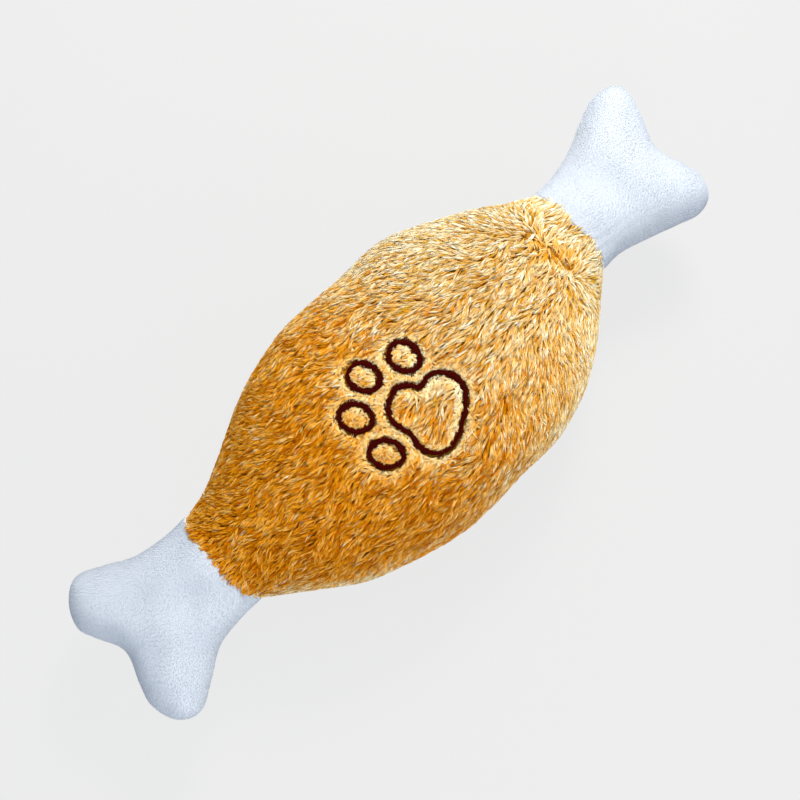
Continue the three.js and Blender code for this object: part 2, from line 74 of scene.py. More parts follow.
# The sewn form, as the model has it
LEFT_NECK = -66.0
RIGHT_NECK = 70.0
BODY_WIDTH = 79.0
BODY_THICKNESS = 60.0
MID_HEIGHT = 29.5
WIDTH_SWELL = [
    (0, 0), (0.06, 0.16), (0.12, 0.36), (0.2, 0.625), (0.3, 0.845), (0.41, 0.99),
    (0.49, 1), (0.58, 0.975), (0.69, 0.96), (0.78, 0.795), (0.88, 0.49), (0.95, 0.2),
    (1, 0),
]
DEPTH_SWELL = [
    (0, 0), (0.1, 0.36), (0.22, 0.7), (0.36, 0.94), (0.5, 1), (0.64, 0.96), (0.78, 0.77), (0.9, 0.4), (1, 0),
]
SECTION_POWER = 2.3
BEND = [(0, 0), (0.45, 0), (0.62, -0.15), (0.78, 0.12), (0.88, 0.42), (0.95, 0.72), (1, 1)]
LEFT_END = SimpleNamespace(
    name="left", side=-1, neck=LEFT_NECK, length=44.0, span=53.0, thickness=30.0,
    neck_width=32.4, neck_thickness=27.0, offset=3.6,
    outline=[
        [(0.42, 0.67), (0.62, 0.87), (0.81, 1.04), (0.95, 0.91), (1, 0.61), (0.955, 0.34), (0.88, 0)],
        [(0.42, 0.68), (0.62, 0.85), (0.79, 0.96), (0.93, 0.8), (1, 0.53), (0.955, 0.3), (0.88, 0)],
    ],
)
RIGHT_END = SimpleNamespace(
    name="right", side=1, neck=RIGHT_NECK, length=40.0, span=46.4, thickness=27.0,
    neck_width=29.6, neck_thickness=24.6, offset=2.6,
    outline=[
        [(0.42, 0.76), (0.62, 0.88), (0.78, 0.96), (0.91, 0.87), (0.965, 0.61), (0.93, 0.34), (0.87, 0)],
        [(0.42, 0.74), (0.62, 0.9), (0.8, 1), (0.95, 0.94), (1, 0.73), (0.95, 0.4), (0.87, 0)],
    ],
)
WAIST = 0.18
NECK_REACH = 12.0
CORNER_POINT = 6
END_SWELL = [(0, 0), (0.3, 0.3), (0.7, 1), (1, 0.85)]
FULLNESS = 2
OUTLINE_SAMPLES = 600

# Cloth and seams. Grids are the rows and columns of points over half of the body or of an end.
# Reverse lip is how much further the reverse of a cloth stays from its seam than its face does, and
# a seam pinches the body's cloth in by this depth over this height.
BODY_GRID = (150, 90)
END_GRID = (70, 70)
GROUND_INSET = 1.8
SEAM_GAP = 0.3
REVERSE_LIP = 0.8
PINCH = 0.9
PINCH_REACH = 1.6
ALLOWANCE = 5.0
THREAD_SINK = 0.45
THREAD_END_GAP = 1.6
CLOSING_LENGTH = 46.0
CLOSING_PITCH = 2.9
FILL_CLEARANCE = 0.3
BACKING_THICKNESS = 0.4
BACKING_GRID = (24, 96)
PILE_CLOTH = 3.0

# The paw. Underlay is the section of the ridge under its stitches, across the run and up.
STITCH_WIDTH = 1.8
STITCH_HEIGHT = 0.9
UNDERLAY = [(0.5, -0.5), (0.42, 0.08), (0.2, 0.26), (-0.2, 0.26), (-0.42, 0.08), (-0.5, -0.5)]
PAD_SIZE = (20.8, 21.2)
PAD_PLACE = (7.1, -6.7)
TOE_SIZE = (7.3, 9.1)
PAD_OUTLINE = [
    (0.05, 0.63), (0.3, 0.68), (0.53, 0.67), (0.74, 0.54), (0.92, 0.24), (0.92, -0.08),
    (0.71, -0.39), (0.34, -0.68), (-0.11, -0.93), (-0.43, -1), (-0.72, -0.9), (-0.92, -0.63),
    (-0.96, -0.31), (-0.91, -0.02), (-1.01, 0.3), (-1, 0.58), (-0.84, 0.83), (-0.62, 0.97),
    (-0.37, 1.02), (-0.16, 0.93), (-0.02, 0.79),
]
TOES = [(-1.7, 0.01, 0.6), (-1.63, 1.19, 0.51), (-0.77, 1.79, 0.38), (0.33, 1.46, 0.28)]

# The squeaker, measured from the middle of the fill
BLADDER_RADIUS = 16.0
BLADDER_BOTTOM = -11.0
BLADDER_SHOULDER = 9.0
SOCKET_TOP = 11.0
SOCKET_BORE = 6.3
BLADDER_WALL = 0.9
BLADDER_FOLD = 2.2
BLADDER_CORNER = 3.0
BLADDER_SIDES = 96


# Forms


def along(shares, place):
    """A smooth value between listed shares, place by place"""
    xs, ys = np.array(shares, float).T
    number = np.arange(len(xs))
    low = np.maximum(number - 1, 0)
    high = np.minimum(number + 1, len(xs) - 1)
    slopes = (ys[high] - ys[low]) / (xs[high] - xs[low])
    i = np.clip(np.searchsorted(xs, place) - 1, 0, len(xs) - 2)
    width = xs[i + 1] - xs[i]
    t = (place - xs[i]) / width
    leaving = (ys[i] * (1 + 2 * t) + slopes[i] * width * t) * (1 - t) ** 2
    arriving = (ys[i + 1] * (3 - 2 * t) + slopes[i + 1] * width * (t - 1)) * t**2
    return leaving + arriving


def ease(low, high, value):
    """0 below low, 1 above high, and smooth between them"""
    t = np.clip((value - low) / (high - low), 0, 1)
    return t * t * (3 - 2 * t)


def unit(vectors):
    """Vectors brought to length 1"""
    return vectors / np.maximum(np.linalg.norm(vectors, axis=-1, keepdims=True), 1e-9)


def way_round(points):
    """The way a closed line runs at each of its points"""
    return unit(np.roll(points, -1, 0) - np.roll(points, 1, 0))


def ripple(points, scale, seed, waves=14):
    """A smooth random value near -1 to 1 at each point, with swells about as long as scale"""
    rng = np.random.default_rng(seed)
    ways = unit(rng.normal(size=(waves, points.shape[-1])))
    ways *= 2 * math.pi / (scale * rng.uniform(0.7, 1.6, (waves, 1)))
    phases = rng.uniform(0, 2 * math.pi, waves)
    return np.sin(points @ ways.T + phases).sum(-1) / math.sqrt(waves)


def body_section(x):
    """Half width, half thickness and middle of the body's section at x"""
    share = np.clip((x - LEFT_NECK) / (RIGHT_NECK - LEFT_NECK), 0, 1)
    half_width = (LEFT_END.neck_width + (RIGHT_END.neck_width - LEFT_END.neck_width) * share) / 2
    half_depth = (LEFT_END.neck_thickness + (RIGHT_END.neck_thickness - LEFT_END.neck_thickness) * share) / 2
    half_width = half_width + (BODY_WIDTH / 2 - half_width) * along(WIDTH_SWELL, share)
    half_depth = half_depth + (BODY_THICKNESS / 2 - half_depth) * along(DEPTH_SWELL, share)
    left = LEFT_END.offset * along(BEND, np.clip(x / LEFT_NECK, 0, 1))
    right = RIGHT_END.offset * along(BEND, np.clip(x / RIGHT_NECK, 0, 1))
    return half_width, half_depth, np.where(x < 0, left, right)


def held_down(points, over):
    """Points drawn in until they stand at most over beyond the body's sewn form"""
    half_width, half_depth, middle = body_section(points[..., 0])
    across = points[..., 1] - middle
    rise = points[..., 2] - MID_HEIGHT
    out = np.abs(across / (half_width + over)) ** SECTION_POWER
    out += np.abs(rise / (half_depth + over)) ** SECTION_POWER
    share = np.maximum(out, 1) ** (-1 / SECTION_POWER)
    return np.stack([points[..., 0], middle + across * share, MID_HEIGHT + rise * share], -1)


def section_rise(share):
    """How high the section stands at a share of its half width"""
    return (1 - np.minimum(np.abs(share), 1) ** SECTION_POWER) ** (1 / SECTION_POWER)


def body_point(x, turn, inset):
    """Points on the body drawn in by inset. Turn runs from the +Y seam over the front and back."""
    half_width, half_depth, middle = body_section(x)
    share = np.cos(turn)
    rise = (half_depth - inset) * section_rise(share) * np.where(np.sin(turn) < 0, -1, 1)
    return np.stack([x, middle + (half_width - inset) * share, MID_HEIGHT + rise], -1)


def front_height(x, y, inset):
    """Height of the front of the body, drawn in by inset, over x and y"""
    half_width, half_depth, middle = body_section(x)
    return MID_HEIGHT + (half_depth - inset) * section_rise((y - middle) / (half_width - inset))


def front_facing(x, y, step=1.0):
    """The way the front of the body faces at x and y"""
    slope_x = (front_height(x + step, y, 0) - front_height(x - step, y, 0)) / (2 * step)
    slope_y = (front_height(x, y + step, 0) - front_height(x, y - step, 0)) / (2 * step)
    return unit(np.stack([-slope_x, -slope_y, np.ones_like(slope_x)], -1))


def smooth_line(points, numbers):
    """An open curve through points at the given numbers, whole at each point"""
    last = len(points) - 1
    i = np.clip(np.floor(numbers).astype(int), 0, last - 1)
    t = (numbers - i)[:, None]
    before, here, after, later = (points[np.clip(i + k, 0, last)] for k in (-1, 0, 1, 2))
    leaving = (after - before) / 2
    arriving = (later - here) / 2
    cubic = 2 * here - 2 * after + leaving + arriving
    square = 3 * (after - here) - 2 * leaving - arriving
    return ((cubic * t + square) * t + leaving) * t + here


def end_outline(end):
    """The points that a bone end's outline runs through, neck to neck round the tip"""
    half_neck = end.neck_width / 2
    neck = [(-NECK_REACH, half_neck), (0, half_neck), (WAIST * end.length, half_neck)]
    lower, upper = (
        neck + [(share * end.length, out * end.span / 2) for share, out in side] for side in end.outline
    )
    return np.array([(x, -y) for x, y in lower] + upper[-2::-1])


def outline_at(outline, numbers, inset):
    """Places on an outline by point number, drawn in by inset"""
    numbers = np.asarray(numbers, float)
    last = len(outline) - 1
    step = 1e-4 * last
    forward = smooth_line(outline, np.minimum(numbers + step, last))
    forward = unit(forward - smooth_line(outline, np.maximum(numbers - step, 0)))
    inward = np.stack([-forward[:, 1], forward[:, 0]], 1)
    return smooth_line(outline, numbers) + inward * inset


def end_lift(end, outline, places, inset):
    """How high the fill lifts the cloth over each place inside the outline"""
    edge = outline_at(outline, np.linspace(0, len(outline) - 1, OUTLINE_SAMPLES + 1), inset)
    middles = (edge[1:] + edge[:-1]) / 2
    lengths = np.linalg.norm(edge[1:] - edge[:-1], axis=1)

    def eased_distance(points):
        away = np.linalg.norm(points[:, None] - middles[None], axis=2)
        total = (lengths / np.maximum(away, 1e-4) ** 4).sum(1)
        return (total / (math.pi / 2)) ** (-1 / 3)

    def rounding(share):
        return np.sqrt(1 - np.exp(-FULLNESS * share))

    neck_reach = eased_distance(np.zeros((1, 2)))[0]
    growth = along(END_SWELL, np.clip(places[:, 0] / end.length, 0, 1))
    thickness = end.neck_thickness + (end.thickness - end.neck_thickness) * growth
    return (thickness / 2 - inset) * rounding(eased_distance(places) / neck_reach) / rounding(1)


def end_grid(end, inset):
    """Places over half an end, from the neck to the tip and from seam to seam, and their lift"""
    rows, columns = END_GRID
    outline = end_outline(end)
    last = len(outline) - 1
    u = np.sin(np.linspace(0, math.pi / 2, rows + 1))
    w = (1 - np.cos(np.linspace(0, math.pi, columns + 1))) / 2
    lower = outline_at(outline, 1 + u * (CORNER_POINT - 1), inset)[:, None]
    upper = outline_at(outline, last - 1 - u * (CORNER_POINT - 1), inset)[:, None]
    tip = outline_at(outline, CORNER_POINT + w * (last - 2 * CORNER_POINT), inset)[None]
    u = u[:, None, None]
    w = w[None, :, None]
    start = lower[:1] * (1 - w) + upper[:1] * w
    corners = start * (1 - u) + (tip[:, :1] * (1 - w) + tip[:, -1:] * w) * u
    places = lower * (1 - w) + upper * w + start * (1 - u) + tip * u - corners
    lift = end_lift(end, outline, places.reshape(-1, 2), inset).reshape(rows + 1, columns + 1)
    lift[:, 0] = lift[:, -1] = lift[-1] = 0
    return places, lift


def pad_line():
    """The pad's outline as points close together"""
    shares = np.array(PAD_OUTLINE) * np.array(PAD_SIZE) / 2 + np.array(PAD_PLACE)
    looped = np.concatenate([shares[-2:], shares, shares[:3]])
    return smooth_line(looped, np.linspace(2, 2 + len(shares), 400, endpoint=False))


def toe_line(toe):
    """A toe's ring as points close together"""
    x, y, tilt = toe
    turn = np.linspace(0, 2 * math.pi, 200, endpoint=False)
    ring = np.stack([TOE_SIZE[0] / 2 * np.cos(turn), TOE_SIZE[1] / 2 * np.sin(turn)], 1)
    tilted = ring @ np.array([[math.cos(tilt), math.sin(tilt)], [-math.sin(tilt), math.cos(tilt)]])
    return tilted + np.array([PAD_PLACE[0] + x * PAD_SIZE[0] / 2, PAD_PLACE[1] + y * PAD_SIZE[1] / 2])


def paw_lines():
    """The points of the pad's and the toes' lines together"""
    return np.concatenate([pad_line(), *[toe_line(toe) for toe in TOES]])


def spaced(points, spacing, loop):
    """Points along a line at even spacing, and how far along each is"""
    if loop:
        points = np.concatenate([points, points[:1]])
    steps = np.linalg.norm(points[1:] - points[:-1], axis=1)
    reach = np.concatenate([[0], np.cumsum(steps)])
    count = max(int(round(reach[-1] / spacing)), 2)
    at = np.linspace(0, reach[-1], count + 1)
    if loop:
        at = at[:-1]
    return np.stack([np.interp(at, reach, axis) for axis in points.T], 1), at


# Meshes


def grid_faces(rows, columns, wrap=False):
    """Faces over a grid of points, row by row"""
    i = np.arange(rows - 1)[:, None]
    j = np.arange(columns if wrap else columns - 1)[None]
    k = (j + 1) % columns
    corners = [i * columns + j, i * columns + k, (i + 1) * columns + k, (i + 1) * columns + j]
    return np.stack([np.broadcast_to(c, (i.shape[0], j.shape[1])) for c in corners], -1).reshape(-1, 4)


def make_mesh(name, points, face_sets, tone_map=None, smooth=True):
    """A mesh in metres from points in millimetres and sets of faces with equally many corners"""
    face_sets = [np.asarray(faces) for faces in face_sets if len(faces)]
    corners = np.concatenate([faces.ravel() for faces in face_sets]).astype(np.int32)
    sizes = np.concatenate([np.full(len(faces), faces.shape[1]) for faces in face_sets])
    starts = np.concatenate([[0], np.cumsum(sizes)[:-1]]).astype(np.int32)
    mesh = bpy.data.meshes.new(name)
    mesh.vertices.add(len(points))
    mesh.vertices.foreach_set("co", (np.asarray(points) * MM).astype(np.float32).ravel())
    mesh.loops.add(len(corners))
    mesh.loops.foreach_set("vertex_index", corners)
    mesh.polygons.add(len(sizes))
    mesh.polygons.foreach_set("loop_start", starts)
    mesh.polygons.foreach_set("use_smooth", np.full(len(sizes), smooth))
    mesh.update(calc_edges=True)
    if tone_map is not None:
        for map_name in ("PileTone", "OFBake"):
            layer = mesh.uv_layers.new(name=map_name)
            layer.uv.foreach_set("vector", tone_map[corners].astype(np.float32).ravel())
    return mesh


def face_outwards(mesh):
    """Turns every face of a closed mesh to face out"""
    shape = bmesh.new()
    shape.from_mesh(mesh)
    bmesh.ops.recalc_face_normals(shape, faces=shape.faces)
    shape.to_mesh(mesh)
    shape.free()


def place_piece(mesh, finish, nodes=()):
    """Puts a piece on the toy's body, in place of the model's plain solids.
    """
    piece = bpy.data.objects.new(mesh.name, mesh)
    bpy.context.scene.collection.objects.link(piece)
    mesh.materials.append(finish)
    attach(piece, "toy")
    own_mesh(piece)
    if nodes:
        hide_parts(*nodes)
    return piece


def shell(face, reverse):
    """Points and faces of a closed sheet between its face and its reverse, two like grids"""
    rows, columns, _ = face.shape
    points = np.concatenate([face.reshape(-1, 3), reverse.reshape(-1, 3)])
    quads = grid_faces(rows, columns)
    other = quads[:, ::-1] + rows * columns
    number = np.arange(rows * columns).reshape(rows, columns)
    edge = np.concatenate([number[0, :-1], number[:-1, -1], number[-1, :0:-1], number[:0:-1, 0]])
    after = np.roll(edge, -1)
    rim = np.stack([after, edge, edge + rows * columns, after + rows * columns], 1)
    return points, [np.concatenate([quads, other, rim])]


def tubes(paths, radii, sides, reference, pointed=False):
    """Points and faces of closed round bars, one along each path of equally many points.

    Radii are by point of the path, or by path and point. Reference is a vector by path that no
    path runs along. A pointed bar ends in its last point.
    """
    count, steps, _ = paths.shape
    forward = np.empty_like(paths)
    forward[:, 1:-1] = paths[:, 2:] - paths[:, :-2]
    forward[:, 0] = paths[:, 1] - paths[:, 0]
    forward[:, -1] = paths[:, -1] - paths[:, -2]
    forward = unit(forward)
    across = unit(np.cross(forward, reference[:, None]))
    up = np.cross(across, forward)
    rings = steps - 1 if pointed else steps
    radii = np.broadcast_to(radii, (count, steps))[:, :rings, None, None]
    angle = 2 * math.pi * np.arange(sides) / sides
    outline = np.cos(angle)[:, None] * across[:, :rings, None] + np.sin(angle)[:, None] * up[:, :rings, None]
    skin = (paths[:, :rings, None] + outline * radii).reshape(count, rings * sides, 3)
    points = np.concatenate([skin, paths[:, -1:]], 1) if pointed else skin
    own = points.shape[1]
    first = (np.arange(count) * own)[:, None, None]
    quads = grid_faces(rings, sides, wrap=True)[None] + first
    base = np.arange(sides)[None, None, ::-1] + first
    faces = [quads.reshape(-1, 4), base.reshape(-1, sides)]
    top = (rings - 1) * sides + np.arange(sides)
    if pointed:
        tips = np.stack([top, np.roll(top, -1), np.full(sides, rings * sides)], 1)
        faces.append((tips[None] + first).reshape(-1, 3))
    else:
        faces.append((top[None, None] + first).reshape(-1, sides))
    return points.reshape(-1, 3), faces


def gather(parts):
    """One set of points and faces from several"""
    points = []
    faces = []
    total = 0
    for own_points, own_faces in parts:
        points.append(own_points)
        faces += [np.asarray(some) + total for some in own_faces]
        total += len(own_points)
    return np.concatenate(points), faces


def spread_over(grid, count, rng):
    """Places spread evenly over a grid of points, and the way the surface faces at each"""
    down = grid[1:, :-1] - grid[:-1, :-1]
    right = grid[:-1, 1:] - grid[:-1, :-1]
    area = np.linalg.norm(np.cross(down, right), axis=2)
    rows, columns = area.shape
    number = np.arange(count)
    # Steps of two irrational numbers fill a square evenly, whatever the count
    loose = 0.35 / math.sqrt(count)
    u = (0.5 + number * 0.7548776662 + rng.uniform(-loose, loose, count)) % 1
    v = (0.5 + number * 0.5698402910 + rng.uniform(-loose, loose, count)) % 1
    by_row = np.concatenate([[0], np.cumsum(area.sum(1))])
    at = np.interp(u, by_row / by_row[-1], np.arange(rows + 1))
    row = np.minimum(at.astype(int), rows - 1)
    s = (at - row)[:, None]
    within = np.concatenate([np.zeros((rows, 1)), np.cumsum(area, 1)], 1)
    within /= within[:, -1:]
    reach = (within + np.arange(rows)[:, None]).ravel()
    key = row + np.clip(v, 1e-6, 1 - 1e-6)
    index = np.searchsorted(reach, key, side="right") - 1
    t = ((key - reach[index]) / (reach[index + 1] - reach[index]))[:, None]
    column = index - row * (columns + 1)
    a, b = grid[row, column], grid[row, column + 1]
    c, d = grid[row + 1, column], grid[row + 1, column + 1]
    places = (a * (1 - t) + b * t) * (1 - s) + (c * (1 - t) + d * t) * s
    facing = np.cross((b - a) * (1 - s) + (d - c) * s, (c - a) * (1 - t) + (d - b) * t)
    return places, unit(facing)


# Finishes


def darker(colour, share):
    """A colour with each channel at a share of its value"""
    return tuple(share * channel for channel in colour)


def start_finish(name, colour, roughness, **values):
    """A material with a Principled shader, and the tools to add its pattern"""
    material = bpy.data.materials.new(name)
    material.use_nodes = True
    tree = material.node_tree
    shader = tree.nodes["Principled BSDF"]
    shader.inputs["Base Color"].default_value = (*colour, 1)
    shader.inputs["Roughness"].default_value = roughness
    for socket, value in values.items():
        shader.inputs[socket.replace("_", " ")].default_value = value
    return material, tree, shader


def add_node(tree, kind, settings=(), **inputs):
    """A node with its settings and the values of its inputs, named with _ for a space"""
    node = tree.nodes.new(kind)
    for key, value in dict(settings).items():
        setattr(node, key, value)
    for socket, value in inputs.items():
        node.inputs[socket.replace("_", " ")].default_value = value
    return node


def mix_colours(tree, share, first, second):
    """A colour between two, each a colour or another node's output"""
    mix = add_node(tree, "ShaderNodeMix", {"data_type": "RGBA"})
    tree.links.new(share, mix.inputs["Factor"])
    for socket, colour in ((mix.inputs[6], first), (mix.inputs[7], second)):
        if isinstance(colour, bpy.types.NodeSocket):
            tree.links.new(colour, socket)
        else:
            socket.default_value = (*colour, 1)
    return mix.outputs[2]


def place_noise(tree, scale, detail=3.0, roughness=0.55, stretch=None):
    """Noise that goes by place on the toy, in swells of about scale millimetres"""
    place = add_node(tree, "ShaderNodeTexCoord")
    source = place.outputs["Object"]
    if stretch is not None:
        mapping = add_node(tree, "ShaderNodeMapping", Scale=stretch)
        tree.links.new(source, mapping.inputs["Vector"])
        source = mapping.outputs["Vector"]
    values = {"Scale": 1 / (scale * MM), "Detail": detail, "Roughness": roughness}
    texture = add_node(tree, "ShaderNodeTexNoise", **values)
    tree.links.new(source, texture.inputs["Vector"])
    return texture.outputs["Fac"]


def mottle(tree, shader, share, shade, colour):
    """A change of tone between two colours"""
    tree.links.new(mix_colours(tree, share, shade, colour), shader.inputs["Base Color"])


def add_bump(tree, shader, height, distance, strength=1.0):
    """Relief of the given depth in millimetres"""
    bump = add_node(tree, "ShaderNodeBump", Strength=strength, Distance=distance * MM)
    tree.links.new(height, bump.inputs["Height"])
    tree.links.new(bump.outputs["Normal"], shader.inputs["Normal"])


def pile_finish(name, tips, roots, root_share):
    """Colour of pile by tone, and from root to tip, read from the map that each strand carries. The darker
    roots are partly the pile's own colour and partly painted shade down between the strands.
    """
    deep, golden, pale = tips
    material, tree, shader = start_finish(name, deep, 1.0, Specular_IOR_Level=0.0)
    tone = add_node(tree, "ShaderNodeUVMap", {"uv_map": "PileTone"})
    split = add_node(tree, "ShaderNodeSeparateXYZ")
    tree.links.new(tone.outputs["UV"], split.inputs["Vector"])
    ramp = add_node(tree, "ShaderNodeMapRange", {"interpolation_type": "SMOOTHSTEP"})
    ramp.inputs["From Max"].default_value = root_share
    tree.links.new(split.outputs["Y"], ramp.inputs["Value"])
    at_root = mix_colours(tree, split.outputs["X"], *roots)
    low = mix_colours(tree, split.outputs["X"], deep, golden)
    high = mix_colours(tree, split.outputs["X"], golden, pale)
    at_tip = mix_colours(tree, split.outputs["X"], low, high)
    colour = mix_colours(tree, ramp.outputs["Result"], at_root, at_tip)
    tree.links.new(colour, shader.inputs["Base Color"])
    return material


def cloth_finish(name, colour, dark, weave, depth):
    """Knitted or woven cloth: fine loops and a slow change of tone"""
    material, tree, shader = start_finish(name, colour, 0.9, Specular_IOR_Level=0.15)
    mottle(tree, shader, place_noise(tree, 6 * weave), dark, colour)
    place = add_node(tree, "ShaderNodeTexCoord")
    wave = add_node(tree, "ShaderNodeTexVoronoi", {"feature": "F1"}, Scale=1 / (weave * MM))
    tree.links.new(place.outputs["Object"], wave.inputs["Vector"])
    add_bump(tree, shader, wave.outputs["Distance"], depth)
    return material


def thread_finish(name, colour, shade, roughness=0.55, gloss=0.12):
    """Spun thread: fine fibres along it, and small changes of tone"""
    material, tree, shader = start_finish(name, colour, roughness, Specular_IOR_Level=gloss)
    mottle(tree, shader, place_noise(tree, 0.8), shade, colour)
    add_bump(tree, shader, place_noise(tree, 0.15), 0.05)
    return material


def fibre_finish(name, colour, shade):
    """Loose matted fibre"""
    material, tree, shader = start_finish(name, colour, 0.95, Specular_IOR_Level=0.1)
    matted = place_noise(tree, 1.6, 8.0, 0.7, (1.0, 2.2, 1.4))
    mottle(tree, shader, matted, shade, colour)
    add_bump(tree, shader, matted, 0.8)
    return material


def plastic_finish(name, colour, shade, roughness, coat=0.0):
    """Moulded plastic: a fine even grain and a faint flow of tone"""
    material, tree, shader = start_finish(name, colour, roughness, Coat_Weight=coat)
    mottle(tree, shader, place_noise(tree, 5.0), shade, colour)
    add_bump(tree, shader, place_noise(tree, 0.3), 0.02, 0.4)
    return material


# Settings


def length(name, description, millimetres, least=0.0, most=1000.0):
    """A setting in metres, from values in millimetres"""
    return FloatProperty(
        name=name, description=description, default=millimetres * MM, min=least * MM, max=most * MM,
        subtype="DISTANCE", unit="LENGTH", precision=5,
    )


def count(name, description, number, least, most):
    """A setting that is a whole number"""
    return IntProperty(name=name, description=description, default=number, min=least, max=most)


def colour(name, description, value):
    """A setting that is a colour"""
    return FloatVectorProperty(
        name=name, description=description, default=value, min=0, max=1, size=3, subtype="COLOR",
    )


class PileSettings(bpy.types.PropertyGroup):
    length: length("Pile Length", "How long a strand of the pile is", 4.1, 0.5, 12)
    height: length("Pile Height", "How high the leaning pile stands over its cloth", 1.4, 0.3, 10)
    thickness: length("Strand Thickness", "How thick a strand is at its root", 0.25, 0.05, 1)
    locks: count("Locks", "How many locks of pile cover the body", 36000, 100, 100000)
    strands: count("Strands", "How many strands each lock has", 6, 1, 20)
    # The tips run from deep to pale across the body, partly the pile's own colour and partly painted light
    # from the upper right
    deep: colour("Deep Tan", "Tips of the pile where it is deepest in tone", (1.0, 0.455, 0.006))
    # Roots darker than tips: partly the pile's own colour, partly painted shade in the troughs between locks
    deep_root: colour("Deep Root", "Roots of the pile where it is deepest in tone", (0.54, 0.128, 0.0))
    golden: colour("Golden Tan", "What the tips lean to between deep and pale", (1.0, 0.73, 0.20))
    pale: colour("Pale Tan", "Tips of the pile where it is palest", (0.98, 0.97, 0.82))
    pale_root: colour("Pale Root", "Roots of the pile where it is palest", (0.72, 0.41, 0.01))


class EndSettings(bpy.types.PropertyGroup):
    cloth: length("Cloth Thickness", "How thick the white cloth is", 1.4, 0.3, 3)
    nap: length("Nap Length", "How long the short white nap is", 0.4, 0.1, 3)
    hairs: count("Hairs", "How many hairs each white panel has", 16000, 10, 100000)
    dents: FloatProperty(
        name="Dents", description="How deep the fill's dents are, as a share of the lift",
        default=0.035, min=0, max=0.3, subtype="FACTOR",
    )
    white: colour("White", "Colour of the cloth", (0.57, 0.615, 0.69))
    shade: colour("White Shade", "Colour at the roots of its nap", (0.555, 0.60, 0.68))


class StitchSettings(bpy.types.PropertyGroup):
    spacing: length("Stitch Spacing", "How far apart the satin stitches lie", 0.42, 0.1, 2)
    thread: length("Stitch Thread", "How thick the embroidery thread is", 0.36, 0.1, 1)
    sink: length("Stitch Sink", "How deep the stitches draw into the pile", 0.7, 0.0, 2)
    dark: colour("Embroidery", "Colour of the embroidery thread", (0.060, 0.0015, 0.0005))


class SeamSettings(bpy.types.PropertyGroup):
    thread: length("Seam Thread", "How thick the sewing thread is", 0.6, 0.2, 1.5)
    twist: length("Twist", "How far the thread runs in one turn of its twist", 1.4, 0.4, 6)
    white: colour("White Thread", "Thread in the seams of the white ends", (0.80, 0.80, 0.78))
    tan: colour("Tan Thread", "Thread in the seams of the tan body", (0.50, 0.24, 0.05))


class InsideSettings(bpy.types.PropertyGroup):
    fibre: colour("Fibre", "Colour of the fibre fill", (0.88, 0.88, 0.85))
    backing: colour("Backing", "Colour of the sheet behind the embroidery", (0.74, 0.72, 0.65))
    bladder: colour("Bladder", "Colour of the squeaker's soft can", (0.87, 0.82, 0.69))
    plug: colour("Plug", "Colour of the squeaker's plug and wedge", (0.76, 0.03, 0.02))
    reed: colour("Reed", "Colour of the squeaker's reed", (0.69, 0.73, 0.75))


class StageSettings(bpy.types.PropertyGroup):
    distance: length("Camera Distance", "How far the camera is over the middle of the toy", 330, 100, 3000)
    frame_width: length("Frame Width", "How much of the toy's level is in the picture", 230.7, 50, 2000)
    turn: FloatProperty(
        name="Picture Turn", description="How far the toy is turned in the picture",
        default=math.radians(43.73), subtype="ANGLE", unit="ROTATION",
    )
    lamp: FloatProperty(name="Lamp", description="Power of the main lamp in watts", default=1.85, min=0)
    fill_lamp: FloatProperty(
        name="Fill Lamp", description="Watts of the lamp on the lower side", default=0.68, min=0,
    )
    sky: FloatProperty(name="Soft Light", description="Light from all round", default=0.73, min=0)
    paper: colour("Paper", "Colour of the floor and backdrop in the picture", (0.855, 0.855, 0.855))


class PlushBoneSettings(bpy.types.PropertyGroup):
    pile: PointerProperty(type=PileSettings, name="Pile", description="The tan pile of the body")
    ends: PointerProperty(type=EndSettings, name="Ends", description="The white cloth ends")
    stitches: PointerProperty(type=StitchSettings, name="Stitches", description="The embroidered paw")
    seams: PointerProperty(type=SeamSettings, name="Seams", description="The sewing threads")
    inside: PointerProperty(type=InsideSettings, name="Inside", description="Fill, backing and squeaker")
    stage: PointerProperty(type=StageSettings, name="Stage", description="Floor, lamps and camera")


# Stage


# How far the floor reaches each way, how far out it is flat, how many rows of points it has, how
# strongly it and the backdrop show, and where the camera stands beside the frame's Z axis
FLOOR_REACH = 2400
FLOOR_FLAT = 1400
FLOOR_ROWS = 25
GLOW = 0.975
CAMERA_PLACE = (1.8, 1.25)


